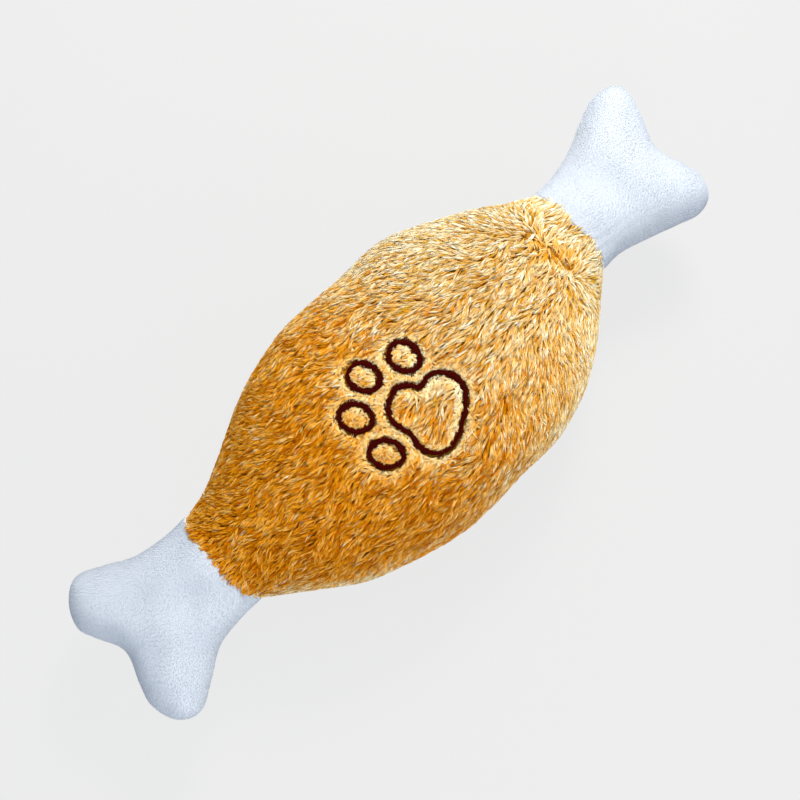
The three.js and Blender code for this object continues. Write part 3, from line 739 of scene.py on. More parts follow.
class PLUSHBONE_OT_stage(bpy.types.Operator):
    """Set up the pale floor, the soft light and the camera over the toy"""

    bl_idname = "plush_bone.stage"
    bl_label = "Stage"

    def execute(self, context):
        stage = context.scene.plush_bone.stage
        self.add_floor(stage)
        self.add_light(context.scene, stage)
        self.add_camera(context.scene, stage)
        context.scene.view_settings.view_transform = "Standard"
        return {"FINISHED"}

    def add_floor(self, stage):
        """A pale floor that rises far out and keeps the toy's shadow"""
        reach = np.linspace(-FLOOR_REACH, FLOOR_REACH, FLOOR_ROWS)
        x, y = np.meshgrid(reach, reach, indexing="ij")
        rise = 1e-4 * np.maximum(np.hypot(x, y) - FLOOR_FLAT, 0) ** 2
        points = np.stack([x, y, rise - 0.02], -1).reshape(-1, 3)
        mesh = make_mesh("floor", points, [grid_faces(FLOOR_ROWS, FLOOR_ROWS)[:, ::-1]])
        floor = bpy.data.objects.new("floor", mesh)
        bpy.context.scene.collection.objects.link(floor)
        reflected = darker(stage.paper, 0.85)
        material, tree, shader = start_finish("pale_floor", reflected, 0.9, Specular_IOR_Level=0.0)
        glow = add_node(tree, "ShaderNodeEmission", Color=(*stage.paper, 1), Strength=GLOW)
        place = add_node(tree, "ShaderNodeTexCoord")
        away = add_node(tree, "ShaderNodeVectorMath", {"operation": "LENGTH"})
        share = add_node(tree, "ShaderNodeMapRange", From_Min=0.4, From_Max=1.6, To_Min=0.92, To_Max=1.0)
        tree.links.new(place.outputs["Object"], away.inputs[0])
        tree.links.new(away.outputs["Value"], share.inputs["Value"])
        seen = self.seen_directly(tree, share.outputs["Result"])
        mix = add_node(tree, "ShaderNodeMixShader")
        tree.links.new(seen, mix.inputs["Fac"])
        tree.links.new(shader.outputs["BSDF"], mix.inputs[1])
        tree.links.new(glow.outputs["Emission"], mix.inputs[2])
        tree.links.new(mix.outputs["Shader"], tree.nodes["Material Output"].inputs["Surface"])
        mesh.materials.append(material)

    def seen_directly(self, tree, share=None):
        """1, or a share, where the camera, a gloss or a clear piece sees the surface, and 0 for its light"""
        rays = add_node(tree, "ShaderNodeLightPath")
        total = rays.outputs["Is Camera Ray"]
        for ray in ("Is Glossy Ray", "Is Transmission Ray"):
            more = add_node(tree, "ShaderNodeMath", {"operation": "MAXIMUM"})
            tree.links.new(total, more.inputs[0])
            tree.links.new(rays.outputs[ray], more.inputs[1])
            total = more.outputs[0]
        if share is None:
            return total
        scale = add_node(tree, "ShaderNodeMath", {"operation": "MULTIPLY"})
        tree.links.new(total, scale.inputs[0])
        tree.links.new(share, scale.inputs[1])
        return scale.outputs[0]

    def add_light(self, scene, stage):
        """Soft light from all round, and the two lamps"""
        world = scene.world or bpy.data.worlds.new("studio")
        scene.world = world
        world.use_nodes = True
        tree = world.node_tree
        soft = tree.nodes["Background"]
        soft.inputs["Color"].default_value = (0.86, 0.93, 1.0, 1)
        soft.inputs["Strength"].default_value = stage.sky
        seen = add_node(tree, "ShaderNodeBackground", Color=(*stage.paper, 1), Strength=GLOW)
        mix = add_node(tree, "ShaderNodeMixShader")
        tree.links.new(self.seen_directly(tree), mix.inputs["Fac"])
        tree.links.new(soft.outputs["Background"], mix.inputs[1])
        tree.links.new(seen.outputs["Background"], mix.inputs[2])
        tree.links.new(mix.outputs["Shader"], tree.nodes["World Output"].inputs["Surface"])
        self.add_lamp(scene, "main_lamp", (240, 170, 330), 120, stage.lamp, (1.0, 0.96, 0.88))
        self.add_lamp(scene, "fill_lamp", (-130, -320, 190), 260, stage.fill_lamp, (1.0, 0.98, 0.94))

    def add_lamp(self, scene, name, place, size, power, tint):
        """A round lamp that faces the middle of the toy"""
        lamp = bpy.data.lights.new(name, "AREA")
        lamp.shape = "DISK"
        lamp.size = size * MM
        lamp.energy = power
        lamp.color = tint
        holder = bpy.data.objects.new(name, lamp)
        holder.location = Vector(place) * MM
        aim = Vector((0, 0, MID_HEIGHT * MM)) - holder.location
        holder.rotation_euler = aim.to_track_quat("-Z", "Y").to_euler()
        scene.collection.objects.link(holder)

    def add_camera(self, scene, stage):
        """The camera looks straight down, turned so that the toy lies as in the picture"""
        camera = bpy.data.cameras.new("camera")
        camera.sensor_width = 36
        camera.lens = camera.sensor_width * stage.distance / stage.frame_width
        camera.clip_start = 0.01
        holder = bpy.data.objects.new("camera", camera)
        aside, across = CAMERA_PLACE
        holder.location = (aside * MM, across * MM, MID_HEIGHT * MM + stage.distance)
        holder.rotation_euler = (0, 0, -stage.turn)
        scene.collection.objects.link(holder)
        scene.camera = holder


# Body


def body_cloth(side, inset, lip):
    """A grid over half the body, drawn in by inset, with its edges turned in at the seams.

    Side is 1 for the front and -1 for the back. Lip is how far the edges stay from the seams.
    """
    rows, columns = BODY_GRID
    x = np.linspace(LEFT_NECK + lip, RIGHT_NECK - lip, rows)[:, None]
    turn = np.linspace(0, math.pi, columns)[None] * side
    x, turn = np.broadcast_arrays(x, turn)
    face = body_point(x, turn, inset)
    height = (face[..., 2] - MID_HEIGHT) * side
    pinch = PINCH * np.exp(-((height / PINCH_REACH) ** 2))
    face = body_point(x, turn, inset + pinch)
    height = np.maximum((face[..., 2] - MID_HEIGHT) * side, lip)
    face[..., 2] = MID_HEIGHT + side * height
    turned_in = body_point(x, turn, ALLOWANCE)
    edges = turned_in[:, [0, -1]]
    edges[..., 2] = MID_HEIGHT + side * lip
    face = np.concatenate([edges[:, :1], face, edges[:, 1:]], 1)
    ends = body_point(x[[0, -1]], turn[[0, -1]], ALLOWANCE)
    ends[..., 2] = MID_HEIGHT + side * np.maximum((ends[..., 2] - MID_HEIGHT) * side, lip)
    ends = np.concatenate([ends[:, :1], ends, ends[:, -1:]], 1)
    return np.concatenate([ends[:1], face, ends[1:]], 0)


class PLUSHBONE_OT_body_cloth(bpy.types.Operator):
    """Make the knitted ground cloth that the body's pile grows from, front and back"""

    bl_idname = "plush_bone.body_cloth"
    bl_label = "Body Cloth"

    def execute(self, context):
        pile = context.scene.plush_bone.pile
        ground = tuple(0.35 * (a + b) for a, b in zip(pile.deep_root, pile.pale_root))
        finish = cloth_finish("tan_ground_cloth", ground, darker(ground, 0.85), 0.7, 0.2)
        for name, side in (("front", 1), ("back", -1)):
            face = body_cloth(side, GROUND_INSET, SEAM_GAP / 2)
            reverse = body_cloth(side, PILE_CLOTH, SEAM_GAP / 2 + REVERSE_LIP)
            mesh = make_mesh(f"body_{name}_cloth", *shell(face, reverse))
            face_outwards(mesh)
            piece = place_piece(mesh, finish, [f"body_{name}_panel"])
        return {"FINISHED"}


# Pile


# The pile was stroked away from a short line across the body near the right neck, at this X and
# between these Y, and is ruffled up there in patches, each with its X, Y and reach
PARTING = 59.5
PARTING_ENDS = (-5.0, 9.0)
RUFFLED = [(59.0, 9.0, 3.0), (59.5, 4.0, 3.4), (59.5, -1.0, 3.4), (60.5, -5.0, 3.0)]

# How far the pressed pile reaches round the stitches, paler there partly by its pressing and partly by
# painted light, and how many times thicker it is there
HALO = 2.2
THICKER = 4

# How far the strands of a lock spread before and beside it at their roots, where on its length each
# strand bends, and how tall it stands and how thick it is there
LOCK_BEFORE = 0.85
LOCK_BESIDE = 0.42
BENDS = (0.28, 0.62, 0.93)
STANDS = (0.74, 0.98, 0.90)
STRAND_SHAPE = (0.8, 1.0, 0.75, 0.0)

# Triangles of one strand, and the most that one piece of pile may have
STRAND_FACES = 16
PIECE_FACES = 190000


def nap_angle(x, y):
    """Which way the pile on the front lies, seen from above"""
    angle = np.arctan2(y - np.clip(y, *PARTING_ENDS), x - PARTING)
    lower_right = np.exp(-(((x - 32) / 17) ** 2) - (((y + 20) / 13) ** 2))
    lower_middle = np.exp(-(((x + 8) / 16) ** 2) - (((y + 28) / 12) ** 2))
    upper_left = ease(4, 18, y) * ease(-12, -34, x)
    angle = angle + 0.42 * lower_right - 0.4 * lower_middle - 0.5 * upper_left
    return angle * (1 - 0.75 * ease(60, 66, x))


def ruffled(x, y):
    """How far the pile is ruffled up, from 0 to 1"""
    patches = [np.exp(-((x - px) ** 2 + (y - py) ** 2) / reach**2) for px, py, reach in RUFFLED]
    return np.clip(sum(patches), 0, 1)


class PLUSHBONE_OT_body_pile(bpy.types.Operator):
    """Grow the tan pile over the body, in locks that lie the way it was stroked"""

    bl_idname = "plush_bone.body_pile"
    bl_label = "Body Pile"

    def execute(self, context):
        pile = context.scene.plush_bone.pile
        tips = (pile.deep, pile.golden, pile.pale)
        finish = pile_finish("tan_pile_strands", tips, (pile.deep_root, pile.pale_root), 0.75)
        rng = np.random.default_rng(21)
        x, turn = np.meshgrid(
            np.linspace(LEFT_NECK, RIGHT_NECK, 260), np.linspace(0, 2 * math.pi, 260), indexing="ij",
        )
        ground = body_point(x, turn, GROUND_INSET)
        roots, facing = spread_over(ground, THICKER * pile.locks, rng)
        outward = roots - np.array([0, 0, MID_HEIGHT])
        outward[:, 0] = 0
        facing *= np.where((facing * outward).sum(1) < 0, -1, 1)[:, None]
        front = roots[:, 2] > MID_HEIGHT
        lines = paw_lines()
        near = np.full(len(roots), 1e3)
        near[front] = self.distance_to(roots[front, :2], lines)
        # All the locks count near the stitches, and elsewhere only as many as were asked for
        extra = (np.arange(len(roots)) >= pile.locks) & (near > HALO)
        keep = (near > STITCH_WIDTH / 2 + 0.05) & ~extra
        roots, facing, front, near = (values[keep] for values in (roots, facing, front, near))
        paths, tones = self.strand_paths(pile, roots, facing, front, near, rng)
        lifted = 0.35 * ruffled(roots[:, 0], roots[:, 1]) * front
        # Round the stitches the roots take the colour of the tips, painted light that takes the painted
        # shade off them; where the pile is ruffled up they partly do too
        light = np.repeat(np.maximum(0.62 * ease(HALO + 0.8, HALO - 0.8, near), lifted), pile.strands)
        full = np.repeat(rng.uniform(0.0, 1.0, len(roots)) ** 0.6, pile.strands)
        full = 1 - (1 - full) * (1 - light)
        panel = np.repeat(front, pile.strands)
        for name, chosen in (("front", panel), ("back", ~panel)):
            maps = np.stack([tones, light, full], 1)[chosen]
            self.add_panel(name, paths[chosen], maps, pile, finish)
        return {"FINISHED"}

    def distance_to(self, places, line):
        """How far each place is from the nearest point of a line"""
        pieces = np.array_split(places, max(len(places) // 1000, 1))
        return np.concatenate([np.linalg.norm(some[:, None] - line[None], axis=2).min(1) for some in pieces])

    def tone(self, roots, front, near, facing, rng):
        """How pale each lock is: deep tan on the left and below, cream towards the upper right, partly its
        own colour and partly painted light from the upper right
        """
        x, y = roots[:, 0], roots[:, 1]
        # From left to right, and paler above, partly the pile's own colour and partly painted light from the
        # upper right
        paleness = -0.13 + 0.78 * ease(-22, 42, x) + 0.26 * ease(50, 64, x)
        paleness += 0.24 * ease(8, 28, y) * ease(0, 30, x) + 0.2 * ease(8, 20, np.abs(y)) * ease(45, 56, x)
        paleness += 0.05 * ease(4, 26, y) * ease(-36, -8, x)
        # Deeper by the left neck and below the paw, partly the pile's own colour and partly painted shade
        paleness -= 0.1 * ease(-36, -50, x) * ease(14, 6, np.abs(y))
        paleness -= 0.1 * ease(-6, -20, y) * ease(52, 40, x) * ease(4, 16, x)
        # Paler inside the pad; painted light on the steep sides and along the fold low on the left; paler
        # round the stitches, partly as pressed pile and partly as painted light
        paleness += 0.12 * ease(9.5, 7, np.hypot(x - PAD_PLACE[0], y - PAD_PLACE[1])) * front
        # Painted light: strands on the steep sides are paler, most of all low on the left
        rim = ease(0.78, 0.45, np.abs(facing[:, 2]))
        paleness += (0.22 + (0.10 + 0.45 * ease(-15, -40, x)) * ease(0, -8, y)) * rim
        # Painted highlight along the fold low on the left, by the neck
        half_width, _, middle = body_section(x)
        paleness += 0.4 * ease(-0.8, -0.93, (y - middle) / half_width) * ease(-28, -45, x)
        # Paler round the stitches: partly pressed pile, partly painted light
        paleness += (0.42 - 0.2 * ease(-4, 14, x)) * ease(HALO + 0.9, HALO - 1.1, near)
        # Deeper where the roots show, at the parting and by the right neck
        paleness -= (0.45 + 0.25 * ripple(roots, 3.5, 7)) * ruffled(x, y) * front
        paleness -= 0.42 * ease(66, 69, x) * ease(-2, 4, y) * front
        # Slow and quick changes from place to place, and from lock to lock
        paleness += 0.05 * ripple(roots, 9, 5) + 0.04 * ripple(roots, 2.5, 6)
        uneven = rng.normal(0, 0.2, len(roots)) * (1.3 - 0.3 * ease(0, 40, x))
        return paleness + uneven * ease(0.8, 2.6, near)

    def strand_paths(self, pile, roots, facing, front, near, rng):
        """The line of each strand, and its tone"""
        count = len(roots)
        x, y = roots[:, 0], roots[:, 1]
        # Which way each lock lies, along the cloth
        angle = nap_angle(x, y) + 0.20 * ripple(roots, 16, 1) + 0.26 * ripple(roots, 5, 2)
        angle += rng.normal(0, 0.15, count) + rng.normal(0, 1.2, count) * ease(HALO + 0.3, HALO - 1, near)
        angle += rng.normal(0.6, 0.7, count) * ruffled(x, y) * front
        way = np.stack([np.cos(angle), np.sin(angle), np.zeros(count)], 1)
        overhang = (way * facing).sum(1)
        way[:, 2] -= 0.5 * overhang * np.where(front, 1, -1)
        way = unit(way - facing * (way * facing).sum(1, keepdims=True))
        aside = np.cross(facing, way)
        # How far it reaches, how high it stands and how much it waves
        free = ease(0.6, HALO + 0.4, near)
        on_top = ease(0.5, 0.9, np.abs(facing[:, 2]))
        upright = 0.25 * ruffled(x, y) * front
        upright += (0.7 * ease(62, 69, x) + 0.6 * ease(-61, -65, x)) * on_top
        fringe = np.maximum(ease(-61, -65, x), ease(64, 68, x)) * on_top
        size = rng.uniform(0.85, 1.12, count) * (1 + 0.06 * ripple(roots, 3, 3))
        tongue = 0.55 * np.exp(-(((y - 3.4) / 5) ** 2)) * ease(66, 69, x) * on_top
        reach = pile.length / MM * size * (0.38 + 0.62 * free) * (1 + tongue)
        reach = self.kept_back(roots, way, facing, front, near, reach, rng)
        rise = pile.height / MM * (0.78 + 0.22 * free) * (rng.uniform(0.62, 1.1, count) + upright)
        wave = 0.46 * ripple(roots, 2.8, 4) + rng.normal(0, 0.12, count)
        tone = self.tone(roots, front, near, facing, rng)

        def each(values):
            return np.repeat(values, pile.strands, axis=0)

        # The four points of each strand's line
        total = count * pile.strands
        spread = np.sqrt(rng.uniform(0, 1, total)) * each(0.5 + 0.5 * free)
        round_it = rng.uniform(0, 2 * math.pi, total)
        before = each(way) * (LOCK_BEFORE * spread * np.cos(round_it))[:, None]
        beside = each(aside) * (LOCK_BESIDE * spread * np.sin(round_it))[:, None]
        own = rng.uniform(0.85, 1.12, total)[:, None]
        reach, rise, wave = (each(v)[:, None] for v in (reach, rise, wave))
        root = each(roots) + before + beside - 0.25 * each(facing)
        middle = each(roots) + before + 0.9 * beside + each(facing) * rise * STANDS[0] * own
        middle += each(way) * reach * BENDS[0] * own + each(aside) * wave * 0.8
        bend = each(roots) + 0.9 * before + 0.7 * beside + each(facing) * rise * STANDS[1] * own
        bend += each(way) * reach * BENDS[1] * own + each(aside) * wave * 0.2
        tip = each(roots) + 0.7 * before + (0.4 + 0.8 * each(fringe))[:, None] * beside
        tip += each(facing) * rise * STANDS[2] * own
        tip += each(way) * reach * BENDS[2] * own - each(aside) * wave * 0.7
        paths = np.stack([root, middle, bend, tip], 1)
        paths += rng.normal(0, 0.04, paths.shape)
        # Held inside the sewn form, over the seam threads only at the necks, and off the floor
        along_toy = paths[..., 0]
        at_necks = 1.6 * ease(-62.5, -66, along_toy) + 1.9 * ease(66, 70, along_toy)
        low_right = 0.4 * ease(18, 40, along_toy) * ease(0, -20, paths[..., 1])
        over = rng.uniform(-1.2, -0.3, (total, 1)) - low_right + at_necks * each(on_top)[:, None]
        paths = held_down(paths, over)
        floor = 0.08 + 0.15 * rng.uniform(0, 1, (total, 1))
        paths[..., 2] = np.maximum(paths[..., 2], floor)
        tones = np.clip(each(tone) + rng.normal(0, 0.08, total), 0.01, 0.9)
        return paths, tones

    def kept_back(self, roots, way, facing, front, near, reach, rng):
        """Reach of each lock, shortened until it ends short of the stitches and the neck seams"""
        lines = paw_lines()
        clear = STITCH_WIDTH / 2 + rng.uniform(-0.15, 0.15, len(roots))
        short = np.where(roots[:, 1] > 0, 4.0, 1.6) * ease(0.7, 0.1, np.abs(facing[:, 2]))
        left = LEFT_NECK + short - rng.uniform(0.5, 1.2, len(roots))
        steepest = np.where(roots[:, 1] > 0, 0.24, 0.15)
        over = 3.0 * ease(steepest, 0.75, np.abs(facing[:, 2])) + 2.2 * ease(0.8, 0.98, np.abs(facing[:, 2]))
        right = RIGHT_NECK + over + rng.uniform(-0.3, 0.5, len(roots))
        beside = front & (near < 6)
        for _ in range(7):
            ends = roots[:, 0] + way[:, 0] * reach * BENDS[-1]
            far = (ends < left) | (ends > right)
            for share in (0.35, 0.62, 0.93):
                places = roots[beside, :2] + way[beside, :2] * reach[beside, None] * share
                far[beside] |= self.distance_to(places, lines) < clear[beside]
            reach = np.where(far, 0.8 * reach, reach)
        return reach

    def add_panel(self, name, paths, maps, pile, finish):
        """The strands of one panel, as pieces of a size that a later tool takes whole.

        Maps has the tone of each strand, how far its root takes the colour of a tip, and how far
        its tip does.
        """
        radius = pile.thickness / MM / 2
        shape = radius * np.array(STRAND_SHAPE)
        order = np.argsort(paths[:, 0, 0], kind="stable")
        pieces = math.ceil(len(paths) * STRAND_FACES / PIECE_FACES)
        for number, chosen in enumerate(np.array_split(order, pieces), 1):
            strands = paths[chosen]
            reference = np.broadcast_to(np.array([0.31, 0.17, 0.93]), (len(strands), 3))
            points, faces = tubes(strands, shape, 3, reference, pointed=True)
            # Each corner of a strand has a place of its own on the map of tones
            along_strand = np.repeat([0.0, 0.4, 0.75, 1.0], [3, 3, 3, 1])
            aside = np.array([-0.01, 0.0, 0.01] * 3 + [0.0])
            lifted = np.array([0.0, 0.02, 0.0] * 3 + [0.0])
            tone, light, full = (values[:, None] for values in maps[chosen].T)
            u = np.clip(tone + aside + 0.4 * ease(0.7, 1.0, full) * along_strand**2, 0.005, 0.995)
            v = (light + (1 - light) * np.clip(along_strand + lifted, 0, 1)) * full
            tone_map = np.stack([u, v], -1).reshape(-1, 2)
            mesh = make_mesh(f"body_{name}_pile_{number}", points, faces, tone_map)
            place_piece(mesh, finish, [f"body_{name}_panel"])


# White ends


# Room that the nap has between the cloth and the model's surface
NAP_ROOM = 0.25


def end_panel(end, side, inset, lip, dents):
    """A grid over half an end with its edges turned in at the seams.

    The last number of each ripple is its seed, so that each panel has dents, folds and puckers of
    its own.
    """
    places, lift = end_grid(end, inset)
    soft = dents * ripple(places, 15, 31 + end.side + side) * ease(0, 8, lift)
    from_neck = places[..., 0]
    folds = ripple(places[..., 1:2] + 0.12 * places[..., :1], 5.5, 41 + end.side)
    gather = 0.22 * np.exp(-from_neck / 7) * folds
    pucker = 0.16 * np.exp(-lift / 2.5) * ripple(places, 3.2, 51 + end.side) * (lift > 0)
    lift = np.maximum(lift * (1 + soft) - np.abs(gather) * ease(0, 5, lift) + pucker, lip)
    x = end.neck + end.side * np.maximum(places[..., 0], lip)
    panel = np.stack([x, end.offset + places[..., 1], MID_HEIGHT + side * lift], -1)
    inner, inner_lift = end_grid(end, ALLOWANCE)
    inner_lift = np.maximum(inner_lift, lip)
    inner_x = end.neck + end.side * np.maximum(inner[..., 0], lip)
    turned = np.stack([inner_x, end.offset + inner[..., 1], MID_HEIGHT + side * inner_lift], -1)
    flat = turned.copy()
    flat[..., 2] = MID_HEIGHT + side * lip
    panel = np.concatenate([flat[:, :1], panel, flat[:, -1:]], 1)
    neck = np.concatenate([turned[:1, :1], turned[:1], turned[:1, -1:]], 1)
    tip = np.concatenate([flat[-1:, :1], flat[-1:], flat[-1:, -1:]], 1)
    return np.concatenate([neck, panel, tip], 0)


class PLUSHBONE_OT_ends(bpy.types.Operator):
    """Make the four white cloth panels of the bone ends, with their short nap"""

    bl_idname = "plush_bone.ends"
    bl_label = "White Ends"

    def execute(self, context):
        ends = context.scene.plush_bone.ends
        cloth = cloth_finish("white_cloth", ends.white, ends.shade, 0.5, 0.05)
        nap = pile_finish("white_nap", (ends.white,) * 3, (ends.shade,) * 2, 0.6)
        rng = np.random.default_rng(33)
        for end in (LEFT_END, RIGHT_END):
            for name, side in (("front", 1), ("back", -1)):
                self.add_panel(end, name, side, ends, cloth, nap, rng)
        return {"FINISHED"}

    def add_panel(self, end, name, side, ends, cloth, nap, rng):
        """One panel of cloth and the nap on it"""
        thickness = ends.cloth / MM
        face = end_panel(end, side, NAP_ROOM, SEAM_GAP / 2, ends.dents)
        reverse = end_panel(end, side, NAP_ROOM + thickness, SEAM_GAP / 2 + REVERSE_LIP, ends.dents)
        mesh = make_mesh(f"{end.name}_end_{name}_cloth", *shell(face, reverse))
        face_outwards(mesh)
        node = f"{end.name}_end_{name}_panel"
        piece = place_piece(mesh, cloth, [node])
        self.add_nap(face[1:-1, 1:-1], end, name, side, ends, nap, node, rng)

    def add_nap(self, face, end, name, side, ends, nap, node, rng):
        """Short hairs that lie towards the end's tip"""
        roots, facing = spread_over(face, ends.hairs, rng)
        facing *= np.where(facing[:, 2] * side < 0, -1, 1)[:, None]
        count = len(roots)
        way = np.stack([np.full(count, end.side), 0.5 * ripple(roots, 8, 61), rng.normal(0, 0.3, count)], 1)
        way += rng.normal(0, 0.4, way.shape)
        way = unit(way - facing * (way * facing).sum(1, keepdims=True))
        reach = ends.nap / MM * rng.uniform(0.6, 1.1, (count, 1))
        middle = roots + facing * 0.35 * reach + way * 0.4 * reach
        tip = roots + facing * 0.38 * reach + way * 0.95 * reach
        paths = np.stack([roots - 0.1 * facing, middle, tip], 1)
        reference = np.broadcast_to(np.array([0.21, 0.93, 0.31]), (count, 3))
        points, faces = tubes(paths, np.array([0.1, 0.08, 0.0]), 3, reference, pointed=True)
        # Each corner of a hair has a place of its own on the map of tones: U the tone, V root to tip
        v = np.tile(np.repeat([0.0, 0.5, 1.0], [3, 3, 1]), count)
        u = 0.5 + 0.4 * np.tile([-0.2, 0.0, 0.2] * 2 + [0.0], count)
        v = np.clip(v + np.tile([0.0, 0.05, 0.0] * 2 + [0.0], count), 0, 1)
        mesh = make_mesh(f"{end.name}_end_{name}_nap", points, faces, np.stack([u, v], 1))
        place_piece(mesh, nap, [node])


# Embroidery


class PLUSHBONE_OT_paw(bpy.types.Operator):
    """Sew the paw in satin stitch: a pad outline and four toes"""

    bl_idname = "plush_bone.paw"
    bl_label = "Embroidered Paw"

    def execute(self, context):
        stitches = context.scene.plush_bone.stitches
        shade = darker(stitches.dark, 0.6)
        finish = thread_finish("dark_embroidery_thread", stitches.dark, shade, 0.8, 0.03)
        rng = np.random.default_rng(7)
        self.add_run("paw_pad_stitches", "paw_pad_embroidery", pad_line(), stitches, finish, rng)
        for number, toe in enumerate(TOES, 1):
            name = f"paw_toe_stitches_{number}"
            self.add_run(name, f"paw_toe_embroidery_{number}", toe_line(toe), stitches, finish, rng)
        return {"FINISHED"}

    def add_run(self, name, node, line, stitches, finish, rng):
        """One closed run of satin stitch along a line over the front"""
        places, _ = spaced(line, stitches.spacing / MM, loop=True)
        x, y = places.T
        facing = front_facing(x, y)
        centre = np.stack([x, y, front_height(x, y, 0)], 1) - facing * stitches.sink / MM
        forward = way_round(centre)
        across = unit(np.cross(facing, forward))
        stitched = self.stitch_paths(centre, across, forward, facing, rng)
        radius = stitches.thread / MM / 2
        shape = radius * np.array([0.7, 0.95, 1.0, 1.0, 1.0, 0.95, 0.7])
        parts = [tubes(stitched, shape, 6, forward), self.padding(centre, across, facing)]
        mesh = make_mesh(name, *gather(parts))
        face_outwards(mesh)
        place_piece(mesh, finish, [node])

    def stitch_paths(self, centre, across, forward, facing, rng):
        """Each stitch arches from one edge of the run to the other and dives into the pile"""
        count = len(centre)
        share = np.linspace(-1, 1, 7)[None, :, None]
        ragged = rng.normal(0, 1, (count, 2))
        ragged = 0.5 * ragged + 0.5 * np.roll(ragged, 1, 0) + 0.35 * np.roll(ragged, 2, 0)
        edges = STITCH_WIDTH / 2 * (1.0 + 0.5 * ragged)
        width = np.where(share < 0, edges[:, :1, None], edges[:, 1:, None])
        uneven = rng.normal(0, 0.06, (count, 1, 1))
        out = STITCH_HEIGHT * 0.36 * (1 - np.abs(share) ** 2.4) - 0.75 * np.abs(share) ** 5
        slant = 0.16 + rng.normal(0, 0.06, (count, 1, 1))
        return (
            centre[:, None]
            + across[:, None] * (share * width + uneven)
            + forward[:, None] * slant * share
            + facing[:, None] * out
        )

    def padding(self, centre, across, facing):
        """The closed ridge of underlay that the stitches lie over"""
        rings = np.stack([centre + across * a + facing * b for a, b in UNDERLAY], 1)
        rings = np.concatenate([rings, rings[:1]])
        count = len(centre)
        faces = grid_faces(count + 1, len(UNDERLAY), wrap=True) % (count * len(UNDERLAY))
        return rings[:-1].reshape(-1, 3), [faces]


# Seam threads


class PLUSHBONE_OT_seam_threads(bpy.types.Operator):
    """Lay the twisted sewing threads in the seams of the body, the necks and the ends"""

    bl_idname = "plush_bone.seam_threads"
    bl_label = "Seam Threads"

    def execute(self, context):
        seams = context.scene.plush_bone.seams
        white = thread_finish("white_sewing_thread", seams.white, darker(seams.white, 0.75))
        tan = thread_finish("tan_sewing_thread", seams.tan, darker(seams.tan, 0.6))
        for end in (LEFT_END, RIGHT_END):
            turn = np.linspace(0, 2 * math.pi, 240, endpoint=False)
            ring = body_point(np.full(len(turn), end.neck), turn, THREAD_SINK)
            self.add_thread(f"{end.name}_neck_seam_thread", ring, True, seams, white, "white_thread")
            line = self.end_line(end)
            self.add_thread(f"{end.name}_end_seam_thread", line, False, seams, white, "white_thread")
        start = LEFT_NECK + THREAD_END_GAP
        stop = RIGHT_NECK - THREAD_END_GAP
        half = CLOSING_LENGTH / 2
        runs = (
            ("lower_side_seam_thread", -1, start, stop),
            ("upper_side_seam_thread_left", 1, start, -half - THREAD_END_GAP),
            ("upper_side_seam_thread_right", 1, half + THREAD_END_GAP, stop),
        )
        for name, side, low, high in runs:
            line = self.side_line(side, np.linspace(low, high, 300))
            self.add_thread(name, line, False, seams, tan, "tan_thread")
        # The ladder stitch swings from one side of its seam to the other
        ladder = self.side_line(1, np.linspace(-half, half, 400))
        stitches = round(CLOSING_LENGTH / CLOSING_PITCH)
        swing = np.sin(np.linspace(0, math.pi * stitches, 400) + math.pi / 2)
        ladder[:, 2] -= 0.25 * np.sign(swing) * np.abs(swing) ** 0.5
        self.add_thread("closing_stitch_thread", ladder, False, seams, tan, "tan_thread", dips=0.0)
        return {"FINISHED"}

    def side_line(self, side, x):
        """The line of a side seam, which is at +Y where side is 1"""
        half_width, _, middle = body_section(x)
        return np.stack([x, middle + side * (half_width - THREAD_SINK), np.full(len(x), MID_HEIGHT)], 1)

    def end_line(self, end):
        """The line of the seam round an end, clear of the neck's thread"""
        outline = end_outline(end)
        line = outline_at(outline, np.linspace(1, len(outline) - 2, 400), THREAD_SINK)
        gap = THREAD_END_GAP * ease(THREAD_END_GAP, 0, line[:, 0])
        x = end.neck + end.side * (line[:, 0] + gap)
        return np.stack([x, end.offset + line[:, 1], np.full(len(x), MID_HEIGHT)], 1)

    def add_thread(self, node, line, loop, seams, finish, slot, dips=0.12):
        """Two plies twisted round each other, that dip a little at each stitch"""
        turn = seams.twist / MM
        points, reach = spaced(line, turn / 8, loop)
        if loop:
            forward = way_round(points)
            total = reach[-1] + reach[1]
            turns = round(total / turn)
        else:
            forward = unit(np.gradient(points, axis=0))
            total = reach[-1]
            turns = total / turn
        upright = np.array([1.0, 0, 0]) if loop else np.array([0, 0, 1.0])
        across = unit(np.cross(upright, forward))
        stitches = max(round(total / 3), 1)
        dip = dips * (np.cos(2 * math.pi * stitches * reach / total) - 1) / 2
        inward = points - np.array([0, 0, MID_HEIGHT])
        inward = unit(inward - forward * (inward * forward).sum(1, keepdims=True))
        points = points + inward * dip[:, None]
        radius = seams.thread / MM / 2
        twist = 2 * math.pi * turns * reach / total
        parts = []
        up = np.cross(forward, across)
        for ply in (0, math.pi):
            offset = across * np.cos(twist + ply)[:, None] + up * np.sin(twist + ply)[:, None]
            path = points + offset * radius * 0.48
            parts.append(self.ply(path, forward, radius * 0.54, loop, upright))
        mesh = make_mesh(f"{node}_plies", *gather(parts))
        face_outwards(mesh)
        place_piece(mesh, finish, [node])

    def ply(self, path, forward, radius, loop, upright):
        """One ply, closed to a ring or thinner at both ends"""
        if not loop:
            shape = np.full(len(path), radius)
            shape[[0, -1]] *= 0.5
            return tubes(path[None], shape, 6, upright[None])
        across = unit(np.cross(upright, forward))
        up = np.cross(forward, across)
        angle = 2 * math.pi * np.arange(6) / 6
        rings = path[:, None] + radius * (
            np.cos(angle)[None, :, None] * across[:, None] + np.sin(angle)[None, :, None] * up[:, None]
        )
        count = len(path)
        return rings.reshape(-1, 3), [grid_faces(count + 1, 6, wrap=True) % (count * 6)]


# Fill and backing


